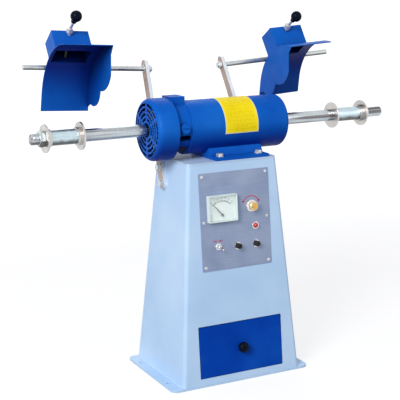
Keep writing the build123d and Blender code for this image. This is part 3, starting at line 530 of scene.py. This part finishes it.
def ink(name, colour, light):
    # screen print: slightly uneven cover and a dull face
    made = Finish(name)
    made.set(Base_Color=made.ramp(made.noise(300, 3), [(0.3, colour), (0.75, light)]), Specular_IOR_Level=0.2,
             Roughness=made.range(made.noise(500, 2), 0.4, 0.6))
    return made.material


# the motor and hood blues carry a fourth, darker colour: painted shade for faces turned down and for recesses
blue = dict(colour=srgb(8, 88, 186), light=srgb(24, 106, 202), dark=srgb(4, 74, 172), paintedShade=srgb(1, 48, 146))
hoodBlue = dict(colour=srgb(10, 97, 193), light=srgb(26, 113, 207), dark=srgb(6, 84, 181),
                paintedShade=srgb(1, 36, 130))
drawerBlue = dict(colour=srgb(2, 62, 166), light=srgb(14, 80, 182), dark=srgb(1, 52, 152))
paleBlue = dict(colour=srgb(181, 211, 243), light=srgb(194, 219, 246), dark=srgb(172, 203, 237))
# the deck: the cabinet's pale blue made a little greyer, partly a dust film and partly painted shade from the
# motor above
deckBlue = dict(colour=srgb(181, 205, 232), light=srgb(194, 216, 240), dark=srgb(170, 195, 224))
primerGrey = dict(colour=srgb(150, 156, 164), light=srgb(170, 176, 184), dark=srgb(138, 144, 152))
oilBrown = (0.11, 0.09, 0.09, 1)
# painted shade: the dark brown laid along the undersides of the sleeves, nuts and rods, standing for shade
# and the dark floor reflected
shadeBrown = (0.10, 0.095, 0.08, 1)
paleEnamel = enamel("paleEnamel", **paleBlue, roughness=0.40, peel=420, shine=0.3)
blueEnamel = enamel("blueEnamel", **blue, roughness=0.36, peel=380, shine=0.05)
hoodEnamel = enamel("hoodEnamel", **hoodBlue, roughness=0.36, peel=380, shine=0.09)
castEnamel = enamel("castEnamel", **blue, roughness=0.40, peel=150, shine=0.05)
drawerEnamel = enamel("drawerEnamel", **drawerBlue, roughness=0.38, peel=380, shine=0.04)
deckEnamel = enamel("deckEnamel", **deckBlue, roughness=0.50, peel=300, shine=0.2)
primer = enamel("greyPrimer", **primerGrey, roughness=0.55, peel=300, shine=0.3)
spindleSteel = turnedSteel("spindleSteel", (0.40, 0.44, 0.48), (0.64, 0.70, 0.74), 0.20, smear=oilBrown)
sleeveSteel = turnedSteel("sleeveSteel", (0.46, 0.57, 0.63), (0.66, 0.80, 0.86), 0.36, 500, undersideShade=shadeBrown)
nutSteel = rolledBar("nutSteel", (0.42, 0.46, 0.47), (0.62, 0.68, 0.70), 0.28, shadeBrown)
rodSteel = rolledBar("rodSteel", (0.46, 0.49, 0.50), (0.63, 0.66, 0.68), 0.26, shadeBrown)
armSteel = flatBar("armSteel", srgb(158, 138, 127), srgb(190, 172, 161), (0.62, 0.67, 0.72))
flangeSteel = facedSteel("flangeSteel", (0.48, 0.46, 0.44), (0.68, 0.66, 0.64), 0.30)
zincPlate = plated("zincPlate", (0.50, 0.52, 0.53), (0.72, 0.74, 0.75), 0.30, 260, 0.7)
chromePlate = plated("chromePlate", (0.52, 0.53, 0.54), (0.72, 0.73, 0.74), 0.14, 120)
leverChrome = plated("leverChrome", (0.52, 0.53, 0.54), (0.72, 0.73, 0.74), 0.34, 120, 0.6, 0.897)
blackedSteel = plated("blackedSteel", (0.035, 0.04, 0.05), (0.08, 0.09, 0.10), 0.40, 300)
blackKnob = moulded("blackKnob", (0.001, 0.003, 0.010, 1), (0.003, 0.006, 0.016, 1), 0.26, 700, 0.05)
blackCap = moulded("blackCap", (0.008, 0.008, 0.010, 1), (0.020, 0.020, 0.024, 1), 0.36, 900, 0.3)
whiteCase = moulded("whiteCase", srgb(214, 230, 228), srgb(228, 240, 238), 0.32, 800, 0.4)
dialCard = moulded("dialCard", srgb(226, 236, 234), srgb(236, 243, 242), 0.5, 1200, 0.2)
spunAluminium = plated("spunAluminium", (0.66, 0.61, 0.52), (0.88, 0.85, 0.78), 0.30, 200)
castAluminium = plated("castAluminium", (0.56, 0.57, 0.58), (0.74, 0.75, 0.76), 0.42, 340)
darkIron = plated("darkIron", (0.08, 0.08, 0.085), (0.16, 0.16, 0.17), 0.55, 200)
copper = turnedSteel("copperSegments", (0.60, 0.32, 0.18), (0.78, 0.46, 0.28), 0.30)
carbon = moulded("carbonBlock", (0.012, 0.012, 0.012, 1), (0.03, 0.03, 0.03, 1), 0.7, 1200)
glandPlastic = moulded("glandPlastic", (0.02, 0.02, 0.022, 1), (0.045, 0.045, 0.05, 1), 0.5, 900)
panelMetal = brushedPanel()
foil = labelFoil()
windowClear = clearWindow()
redLens = tintedLens()
redInk = ink("redInk", srgb(176, 18, 40), srgb(200, 36, 56))
blackInk = ink("blackInk", srgb(24, 24, 28), srgb(52, 52, 58))
goldFace = rolledBar("goldFace", (0.60, 0.36, 0.08), (0.84, 0.58, 0.20), 0.26)

finishes = {
    "base_plate cabinet_shell rear_cover": paleEnamel,
    "motor_deck": deckEnamel,
    "motor_yoke fan_cowl": blueEnamel,
    "left_hood right_hood": hoodEnamel,
    "drawer_front": drawerEnamel,
    "brush_end_bell drive_end_bell motor_foot brush_caps": castEnamel,
    "drawer_tray": primer,
    "left_spindle right_spindle motor_shaft": spindleSteel,
    "wheel_sleeves": sleeveSteel,
    "left_rod right_rod left_clamp_block right_clamp_block": rodSteel,
    "left_arm right_arm": armSteel,
    "wheel_flanges": flangeSteel,
    "hex_bolts casing_screws spindle_grub_screws spindle_nuts left_rod_nuts right_rod_nuts": zincPlate,
    "inner_shelf drawer_runners speed_pot shaft_bearings": zincPlate,
    "toggle_lever toggle_body lamp_body fuse_holders": chromePlate,
    "left_clamp_lever right_clamp_lever": leverChrome,
    "left_ball_knob right_ball_knob drawer_knob": blackKnob,
    "left_fuse_cap right_fuse_cap meter_needle": blackCap,
    "meter_case": whiteCase,
    "meter_window": windowClear,
    "lamp_lens": redLens,
    "speed_knob": spunAluminium,
    "speed_controller cooling_fan": castAluminium,
    "field_magnets armature_core": darkIron,
    "commutator": copper,
    "carbon_brushes": carbon,
    "cable_gland": glandPlastic,
    "control_panel": panelMetal,
    "motor_label": foil,
}
for names, material in finishes.items():
    for name in names.split():
        mesh = nodes[name].data
        mesh.materials.clear()
        mesh.materials.append(material)
print("finishes on", sum(len(names.split()) for names in finishes), "nodes")


# label on the motor
label = dict(radius=70.05, thick=0.5, start=-13.0, end=110.0, left=-7.0, right=91.0,
             steps=64, columns=24)


def makeLabel():
    # a cylinder patch: rows by angle from the front upwards, columns by distance along the spindle
    angle = np.radians(np.linspace(label["end"], label["start"], label["steps"]))
    x = np.linspace(label["left"], label["right"], label["columns"])
    angles, xs = np.meshgrid(angle, x, indexing="ij")

    def patch(radius):
        up = pedestal["axis"] + radius * np.sin(angles)
        return np.stack([xs, -radius * np.cos(angles), up], axis=-1)
    sheet = slab(patch(label["radius"]), patch(label["radius"] + label["thick"]))
    piece = makePiece("label_sheet", [sheet], foil, "cabinet")
    layer = piece.data.uv_layers.new(name="label")
    loops = np.zeros(len(piece.data.loops), int)
    piece.data.loops.foreach_get("vertex_index", loops)
    points = np.zeros(len(piece.data.vertices) * 3)
    piece.data.vertices.foreach_get("co", points)
    points = points.reshape(-1, 3)[loops] / mm
    turned = np.degrees(np.arctan2(points[:, 2] - pedestal["axis"], -points[:, 1]))
    u = (points[:, 0] - label["left"]) / (label["right"] - label["left"])
    v = (turned - label["start"]) / (label["end"] - label["start"])
    layer.data.foreach_set("uv", np.stack([u, v], axis=-1).ravel())
    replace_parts(piece, "motor_label")


makeLabel()
print("label made")


# bolts, nuts and screws
bolt = dict(across=17.0, head=7.0, washer=10.5, washerThick=1.6, shank=5.0, nut=8.0, stub=2.0,
            footX=(-25.0, 90.0), footY=(-70.0, 70.0), footTop=594.0, footGrip=14.0, armGrip=12.0,
            washerGap=0.3, nutGap=0.1, lap=1.0, turns=(12, 47, 31, 5, 22, 50, 38, 16))


def hexBolt(grip):
    # washer and chamfered head above local zero, plain shank, and a nut under the grip
    seat = bolt["washerThick"]
    washer = ring(bolt["shank"] + bolt["washerGap"], bolt["washer"], 0, seat)
    head = hexBlock(bolt["across"], seat, seat + bolt["head"])
    shank = post(bolt["shank"], -grip - bolt["nut"] - bolt["stub"], seat + bolt["lap"])
    nut = hexBlock(bolt["across"], -grip - bolt["nut"], -grip, bolt["shank"] + bolt["nutGap"], True)
    return [washer, head, shank, nut]


def makeBolts():
    places = [(translate(x, y, bolt["footTop"]), bolt["footGrip"])
              for x in bolt["footX"] for y in bolt["footY"]]
    for distance in arm["bolts"]:
        place = onArm(distance, arm["thick"])
        places += [(place, bolt["armGrip"]), (mirrorX @ place, bolt["armGrip"])]
    shapes = [moved(shape, place @ turn(angle, "Z"))
              for (place, grip), angle in zip(places, bolt["turns"]) for shape in hexBolt(grip)]
    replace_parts(makePiece("bolt_set", shapes, zincPlate, "cabinet"), "hex_bolts")


spindleNut = dict(across=36.0, start={"left": 478.0, "right": 467.5}, length=15.0, bore=13.55,
                  turns={"left": 8, "right": 21})
rodNut = dict(across=19.0, face=5.25, length=9.0, bore=7.05, washer=10.0, washerThick=2.0)


def makeNuts():
    shapes = []
    for side, placed in (("left", mirrorX), ("right", Matrix.Identity(4))):
        start = spindleNut["start"][side]
        nut = hexBlock(spindleNut["across"], start, start + spindleNut["length"], spindleNut["bore"], True)
        centred = placed @ translate(0, 0, pedestal["axis"]) @ alongX @ turn(spindleNut["turns"][side], "Z")
        shapes.append(moved(nut, centred))
        face = rodNut["face"]
        pair = [hexBlock(rodNut["across"], -face - rodNut["length"], -face, rodNut["bore"], True),
                ring(rodNut["bore"], rodNut["washer"], face, face + rodNut["washerThick"])]
        rods = [moved(shape, onRod(side) @ alongX) for shape in pair]
        piece = makePiece(side + "_rod_fixings", rods, zincPlate, side + "_swing")
        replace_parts(piece, side + "_rod_nuts")
    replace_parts(makePiece("spindle_nut_pair", shapes, nutSteel, "spindle"), "spindle_nuts")


screw = dict(radius=4.0, height=2.6, edge=1.1, slot=0.62, arm=2.35, depth=1.1, shank=2.0, length=8.0,
             panel=(93.5, 118.5), rear=(97.0, 127.0), rearMiddle=340.0, rearLift=1.5,
             cowlAt=-148.0, cowlReach=81.0, cowlAngles=(84.0, 174.0, 264.0), rows=24, steps=64,
             slotFade=0.15, armFade=0.25, lap=0.5, shankSteps=24, turn=19)


def screwHead():
    # domed disc whose height falls with the square of the radius, less a cross sunk where
    # either coordinate is inside the slot and the other inside its arm
    radius = np.concatenate([np.linspace(0, screw["radius"], screw["rows"]), [screw["radius"], 0]])
    radius = np.repeat(radius[:, None], screw["steps"], axis=1)
    angle = around(screw["steps"]) + np.pi / 4
    u, v = np.abs(radius * np.cos(angle)), np.abs(radius * np.sin(angle))
    height = screw["height"] - (screw["height"] - screw["edge"]) * (radius / screw["radius"]) ** 2
    inSlot = np.clip((screw["slot"] - np.minimum(u, v)) / screw["slotFade"], 0, 1)
    inArm = np.clip((screw["arm"] - np.maximum(u, v)) / screw["armFade"], 0, 1)
    height = height - screw["depth"] * inSlot * inArm
    height[-2:] = 0
    return lathe(radius, height)


def makeScrews():
    rearUp = screw["rearMiddle"] / math.cos(math.radians(pedestal["leanFront"]))
    rows = (-1, 0, 1)
    sheet = [onPanel(x * screw["panel"][0], y * screw["panel"][1]) for x in (-1, 1) for y in rows]
    sheet += [onRear(x * screw["rear"][0], rearUp + y * screw["rear"][1], screw["rearLift"])
              for x in (-1, 1) for y in rows]
    cowl = [onMotor(screw["cowlAt"], angle, screw["cowlReach"]) for angle in screw["cowlAngles"]]
    one = [screwHead(), post(screw["shank"], -screw["length"], screw["lap"], screw["shankSteps"])]
    for name, places, material in (("screw_set", sheet, zincPlate), ("cowl_screws", cowl, blackedSteel)):
        shapes = [moved(shape, place @ turn(screw["turn"] * k, "Z"))
                  for k, place in enumerate(places) for shape in one]
        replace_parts(makePiece(name, shapes, material, "cabinet", 50), "casing_screws")


thread = dict(spans={"left": (493.6, 510.6), "right": (483.1, 529.6)}, root=13.4, crest=14.05,
              pitch=3.0, fade=3.0, spacing=0.25, steps=64)


def makeThreads():
    # radius rises and falls once a pitch along the axis, and the wave moves one pitch on for each turn
    shapes = []
    steps = thread["steps"]
    for side, (start, end) in thread["spans"].items():
        x = np.arange(start, end, thread["spacing"])[:, None]
        wave = (x / thread["pitch"] - around(steps)[None, :] / (2 * np.pi)) % 1
        ridge = 1 - np.abs(2 * wave - 1)
        ends = np.clip(np.minimum(x - start, end - x) / thread["fade"], 0, 1)
        radius = thread["root"] + (thread["crest"] - thread["root"]) * ridge * ends
        radius = np.concatenate([np.zeros((1, steps)), radius, np.zeros((1, steps))])
        height = np.repeat(np.concatenate([x[:1], x, x[-1:]]), steps, axis=1)
        stub = moved(lathe(radius, height), translate(0, 0, pedestal["axis"]) @ alongX)
        shapes.append(moved(stub, mirrorX) if side == "left" else stub)
    makePiece("spindle_threads", shapes, spindleSteel, "spindle", 60)


makeBolts()
makeNuts()
makeScrews()
makeThreads()
print("fasteners made")


# meter dial, drawn on the floor of the meter's case
dial = dict(place=(-41.0, 34.0), pivotDrop=18.0, floor=3.0, card=(76.0, 62.0), swing=42.0, arc=(35.6, 36.4),
            tick=39.0, majorTick=40.5, steps=30, every=5, numberReach=44.6, numberSize=5.0,
            cardLevels=(0.05, 0.45), inkLevels=(0.45, 0.60), tickHalf=0.22, majorHalf=0.45, arcSteps=60,
            numberLift=0.52, numberThick=0.14)


def dialTurn(step):
    return turn(dial["swing"] - 2 * dial["swing"] * step / dial["steps"], "Z")


def makeDial():
    x, y = dial["place"]
    cardPlace = onPanel(x, y, dial["floor"])
    pivot = onPanel(x, y - dial["pivotDrop"], dial["floor"])
    width, height = dial["card"]
    card = plateBar(-width / 2, -height / 2, width / 2, height / 2, *dial["cardLevels"])
    levels = dial["inkLevels"]
    lines = [ringBand(*dial["arc"], 90 - dial["swing"], 90 + dial["swing"], *levels, dial["arcSteps"])]
    for step in range(dial["steps"] + 1):
        major = step % dial["every"] == 0
        half = dial["majorHalf"] if major else dial["tickHalf"]
        tick = plateBar(-half, dial["arc"][0], half, dial["majorTick"] if major else dial["tick"], *levels)
        lines.append(moved(tick, dialTurn(step)))
    # the pivot passes through the card, so the card has no hole of its own
    makePiece("dial_card", [moved(card, cardPlace)], dialCard, "cabinet")
    makePiece("dial_scale", [moved(line, pivot) for line in lines], blackInk, "cabinet")
    reach = translate(0, dial["numberReach"], dial["numberLift"])
    words = [(str(step), pivot @ dialTurn(step) @ reach)
             for step in range(0, dial["steps"] + 1, dial["every"])]
    makeWords("dial_numbers", words, blackInk, "cabinet", dial["numberSize"],
              dial["numberThick"])


# red marks on the panel: the speed knob's arc and the switch's two words
marks = dict(knob=(48.0, 31.0), arc=(25.0, 27.0), start=152.0, end=28.0, dot=3.0, low=0.02, high=0.16,
             switch=(-55.0, -66.0), words=(("ON", -8.5, 14.0), ("OFF", 7.5, 14.0)), size=6.6,
             arcSteps=72, dotRise=0.05, dotSteps=28, wordLift=0.08, wordThick=0.14, wordBold=0.15)


def makePanelMarks():
    place = onPanel(*marks["knob"])
    middle = sum(marks["arc"]) / 2
    low, high = marks["low"], marks["high"]
    shapes = [ringBand(*marks["arc"], marks["end"], marks["start"], low, high, marks["arcSteps"])]
    for angle in (marks["start"], marks["end"]):
        spot = turn(angle, "Z") @ translate(middle, 0, 0)
        shapes.append(moved(post(marks["dot"], low, high + marks["dotRise"], marks["dotSteps"]), spot))
    makePiece("speed_arc", [moved(shape, place) for shape in shapes], redInk, "cabinet")
    x, y = marks["switch"]
    words = [(word, onPanel(x + across, y + up, marks["wordLift"])) for word, across, up in marks["words"]]
    makeWords("switch_words", words, redInk, "cabinet", marks["size"], marks["wordThick"],
              marks["wordBold"])


knobCap = dict(place=(48.0, 31.0), top=18.0, radius=10.2, thick=0.9, dish=6.4, pointer=195.0,
               sunk=0.3, bevel=0.5, dishDepth=0.35, steps=64, lineBack=2.0, lineEnd=0.3, lineHalf=0.6,
               lineLow=-0.2, lineHigh=0.15)


def makeKnobCap():
    # spun disc with a shallow dish in its face, and a pointer line inlaid from the dish to the rim
    outer, dish, bevel, half = knobCap["radius"], knobCap["dish"], knobCap["bevel"], knobCap["lineHalf"]
    low = knobCap["top"] - knobCap["sunk"]
    shoulder = knobCap["top"] + knobCap["thick"] * 0.6
    face = knobCap["top"] + knobCap["thick"]
    floor = face - knobCap["dishDepth"]
    profile = [(0, low), (outer, low), (outer, shoulder), (outer - bevel, face),
               (dish, face), (dish - bevel, floor), (0, floor)]
    place = onPanel(*knobCap["place"]) @ turn(knobCap["pointer"], "Z")
    cap = revolve(profile, knobCap["steps"])
    makePiece("knob_cap", [moved(cap, place)], goldFace, "speed_control")
    line = plateBar(dish - knobCap["lineBack"], -half, outer - knobCap["lineEnd"], half,
                    face + knobCap["lineLow"], face + knobCap["lineHigh"])
    makePiece("knob_pointer", [moved(line, place)], blackInk, "speed_control")


fuse = dict(places={"left": (1.0, -70.0), "right": (56.0, -70.0)}, low=4.05, high=16.05, radius=7.5,
            flutes=20, depth=0.5, slot=(5.25, 1.0), slotDepth=2.0, stem=4.5, stemLow=-16.0, lap=0.5,
            collar=(2.0, 2.2), crown=(1.4, 0.4), bevel=(0.5, 1.4), steps=120,
            turns={"left": 24, "right": -35})


def makeFuseCaps():
    # radius dips by the square of a sine round the grip; the end is a disc with a slot sunk into it
    steps = fuse["steps"]
    dips = fuse["radius"] - fuse["depth"] * np.sin(around(steps) * fuse["flutes"] / 2) ** 2
    plain = np.full(steps, fuse["radius"])
    low, high = fuse["low"], fuse["high"]
    sides = np.stack([np.zeros(steps), plain, plain, dips, dips,
                      dips - fuse["bevel"][0], dips - fuse["bevel"][1]])
    levels = np.array([low, low, low + fuse["collar"][0], low + fuse["collar"][1],
                       high - fuse["crown"][0], high - fuse["crown"][1], high])
    heights = np.repeat(levels[:, None], steps, axis=1)
    inner = np.linspace(0.8, 0, 16)[:, None] * (fuse["radius"] - 0.6)
    inner = np.repeat(inner, steps, axis=1)
    u, v = np.abs(inner * np.cos(around(steps))), np.abs(inner * np.sin(around(steps)))
    sunk = np.clip((fuse["slot"][1] - v) / 0.2, 0, 1) * np.clip((fuse["slot"][0] - u) / 0.3, 0, 1)
    cap = lathe(np.concatenate([sides, inner]), np.concatenate([heights, high - fuse["slotDepth"] * sunk]))
    stem = post(fuse["stem"], fuse["stemLow"], low + fuse["lap"], 32)
    for side, place in fuse["places"].items():
        seat = onPanel(*place) @ turn(fuse["turns"][side], "Z")
        piece = makePiece(side + "_fuse_grip", [moved(shape, seat) for shape in (cap, stem)], blackCap,
                          side + "_fuse", 40)
        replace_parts(piece, side + "_fuse_cap")


drawerKnob = dict(up=92.5, proud=1.0, radius=14.5, reach=23.9, neck=7.6, base=9.6, stud=3.9, studLow=-4.5,
                  middle=12.5, under=-1.05, rim=1.0, waist=1.8, flare=0.6, lap=0.5)


def makeDrawerKnob():
    # turned knob: flared base, waist, then an ellipse swung from under the rim to the crown
    base, middle = drawerKnob["base"], drawerKnob["middle"]
    swing = np.linspace(drawerKnob["under"], np.pi / 2, 28)
    half = drawerKnob["reach"] - middle
    crown = np.stack([drawerKnob["radius"] * np.cos(swing), middle + half * np.sin(swing)], axis=-1)
    crown[-1, 0] = 0
    foot = [(0, 0), (base, 0), (base, drawerKnob["rim"]),
            (drawerKnob["neck"] + drawerKnob["flare"], drawerKnob["waist"])]
    shapes = [revolve(np.concatenate([foot, crown]), 64),
              post(drawerKnob["stud"], drawerKnob["studLow"], drawerKnob["lap"], 28)]
    place = onFront(0, drawerKnob["up"], drawerKnob["proud"])
    shapes = [moved(shape, place) for shape in shapes]
    piece = makePiece("drawer_pull", shapes, blackKnob, "drawer", 45)
    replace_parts(piece, "drawer_knob")


weld = dict(x=175.55, half=132.0, floor=6.0, size=2.6, ripple=0.18, pitch=3.4, fade=4.0, faceSunk=0.3,
            coreSunk=0.6, floorSunk=0.05, rows=420, columns=7)


def makeWelds():
    # quarter round carried along Y in the corner of the shell and the base plate, its radius rippling
    columns = weld["columns"]
    low = weld["floor"] - weld["floorSunk"]
    y = np.linspace(-weld["half"], weld["half"], weld["rows"])[:, None]
    ends = np.clip((weld["half"] - np.abs(y)) / weld["fade"], 0.05, 1) ** 0.5
    radius = (weld["size"] + weld["ripple"] * np.sin(2 * np.pi * y / weld["pitch"])) * ends
    sweep = np.linspace(0, np.pi / 2, columns)[None, :]
    along = np.repeat(y, columns, axis=1)
    outer = np.stack([weld["x"] - weld["faceSunk"] + radius * np.cos(sweep), along,
                      low + radius * np.sin(sweep)], axis=-1)
    core = np.stack([np.full(along.shape, weld["x"] - weld["coreSunk"]), along,
                     np.full(along.shape, low)], axis=-1)
    bead = slab(core, outer)
    makePiece("base_welds", [bead, moved(bead, mirrorX)], paleEnamel, "cabinet", 50)


makeDial()
makePanelMarks()
makeKnobCap()
makeFuseCaps()
makeDrawerKnob()
makeWelds()
print("panel and cabinet details made")


# camera, floor and light
view = dict(place=(-1338.8, -2517.5, 1078.4), right=(0.889, -0.4578, -0.0088), up=(0.1042, 0.1837, 0.9774),
            focal=1083.97, frame=400, sensor=36.0)


def makeCamera():
    right = np.array(view["right"]) / np.linalg.norm(view["right"])
    back = np.cross(right, view["up"])
    back /= np.linalg.norm(back)
    up = np.cross(back, right)
    data = bpy.data.cameras.new("photoCamera")
    data.sensor_width = view["sensor"]
    data.lens = view["focal"] * view["sensor"] / view["frame"]
    data.clip_end = 200
    camera = bpy.data.objects.new("photoCamera", data)
    matrix = np.eye(4)
    matrix[:3, :3] = np.stack([right, up, back], axis=1)
    matrix[:3, 3] = np.array(view["place"]) * mm
    camera.matrix_world = Matrix(matrix.tolist())
    bpy.context.scene.collection.objects.link(camera)
    bpy.context.scene.camera = camera


studio = dict(floorHalf=60.0, floorColour=(0.30, 0.30, 0.31, 1),
              glowNear=0.74, glowFar=1.0, glowFrom=1.2, glowTo=5.0,
              horizon=(0.60, 0.60, 0.61, 1), zenith=(0.36, 0.37, 0.39, 1),
              aim=(0.0, 0.0, 0.5), lamps=[
                  ("keyLamp", (-4.0, -3.0, 3.2), 2.4, 262.0),
                  ("fillLamp", (2.6, -2.4, 1.7), 2.2, 12.0),
                  ("backLamp", (0.6, 2.4, 2.8), 2.2, 14.0)])


def seenWhite(tree):
    # 1 for camera, glossy and transmission rays, which all see the white background
    path = tree.nodes.new("ShaderNodeLightPath").outputs
    seen = wire(tree, "Math", {0: path["Is Camera Ray"], 1: path["Is Glossy Ray"]}, operation="MAXIMUM")
    seen = wire(tree, "Math", {0: seen.outputs[0], 1: path["Is Transmission Ray"]}, operation="MAXIMUM")
    return seen.outputs[0]


def makeFloor():
    # grey to light the object, with a glow that only camera, glossy and transmission rays see
    half = studio["floorHalf"]
    mesh = bpy.data.meshes.new("floor")
    corners = [(-half, -half, 0), (half, -half, 0), (half, half, 0), (-half, half, 0)]
    mesh.from_pydata(corners, [], [(0, 1, 2, 3)])
    floor = bpy.data.objects.new("floor", mesh)
    bpy.context.scene.collection.objects.link(floor)
    paint = bpy.data.materials.new("floorPaint")
    paint.use_nodes = True
    tree = paint.node_tree
    shader = tree.nodes["Principled BSDF"]
    shader.inputs["Base Color"].default_value = studio["floorColour"]
    shader.inputs["Roughness"].default_value = 0.9
    shader.inputs["Specular IOR Level"].default_value = 0.0
    shader.inputs["Emission Color"].default_value = (1, 1, 1, 1)
    coords = tree.nodes.new("ShaderNodeTexCoord")
    reach = wire(tree, "VectorMath", {0: coords.outputs["Object"]}, operation="LENGTH")
    level = wire(tree, "MapRange", {"Value": reach.outputs["Value"], "From Min": studio["glowFrom"],
                                    "From Max": studio["glowTo"], "To Min": studio["glowNear"],
                                    "To Max": studio["glowFar"]})
    glow = wire(tree, "Math", {0: seenWhite(tree), 1: level.outputs["Result"]}, operation="MULTIPLY")
    tree.links.new(glow.outputs[0], shader.inputs["Emission Strength"])
    mesh.materials.append(paint)


def makeWorld():
    # soft room: pale at the horizon, grey overhead; the camera, metal and clear parts see plain white
    world = bpy.data.worlds.new("studioWorld")
    bpy.context.scene.world = world
    world.use_nodes = True
    tree = world.node_tree
    coords = tree.nodes.new("ShaderNodeTexCoord")
    parts = wire(tree, "SeparateXYZ", {0: coords.outputs["Generated"]})
    height = wire(tree, "MapRange", {"Value": parts.outputs["Z"], "From Min": 0.1, "From Max": 0.8})
    room = wire(tree, "Mix", {0: height.outputs["Result"], 6: studio["horizon"], 7: studio["zenith"]},
                data_type="RGBA")
    shown = wire(tree, "Mix", {0: seenWhite(tree), 6: room.outputs[2], 7: (1, 1, 1, 1)}, data_type="RGBA")
    tree.links.new(shown.outputs[2], tree.nodes["Background"].inputs["Color"])


def makeLamps():
    aim = np.array(studio["aim"])
    for name, place, size, energy in studio["lamps"]:
        lamp = bpy.data.lights.new(name, "AREA")
        lamp.shape = "DISK"
        lamp.size = size
        lamp.energy = energy
        holder = bpy.data.objects.new(name, lamp)
        back = np.array(place) - aim
        back /= np.linalg.norm(back)
        side = np.cross([0, 0, 1], back)
        side /= np.linalg.norm(side)
        matrix = np.eye(4)
        matrix[:3, :3] = np.stack([side, np.cross(back, side), back], axis=1)
        matrix[:3, 3] = place
        holder.matrix_world = Matrix(matrix.tolist())
        bpy.context.scene.collection.objects.link(holder)


makeCamera()
makeFloor()
makeWorld()
makeLamps()
bpy.context.scene.view_settings.view_transform = "Standard"
print("camera and studio ready")
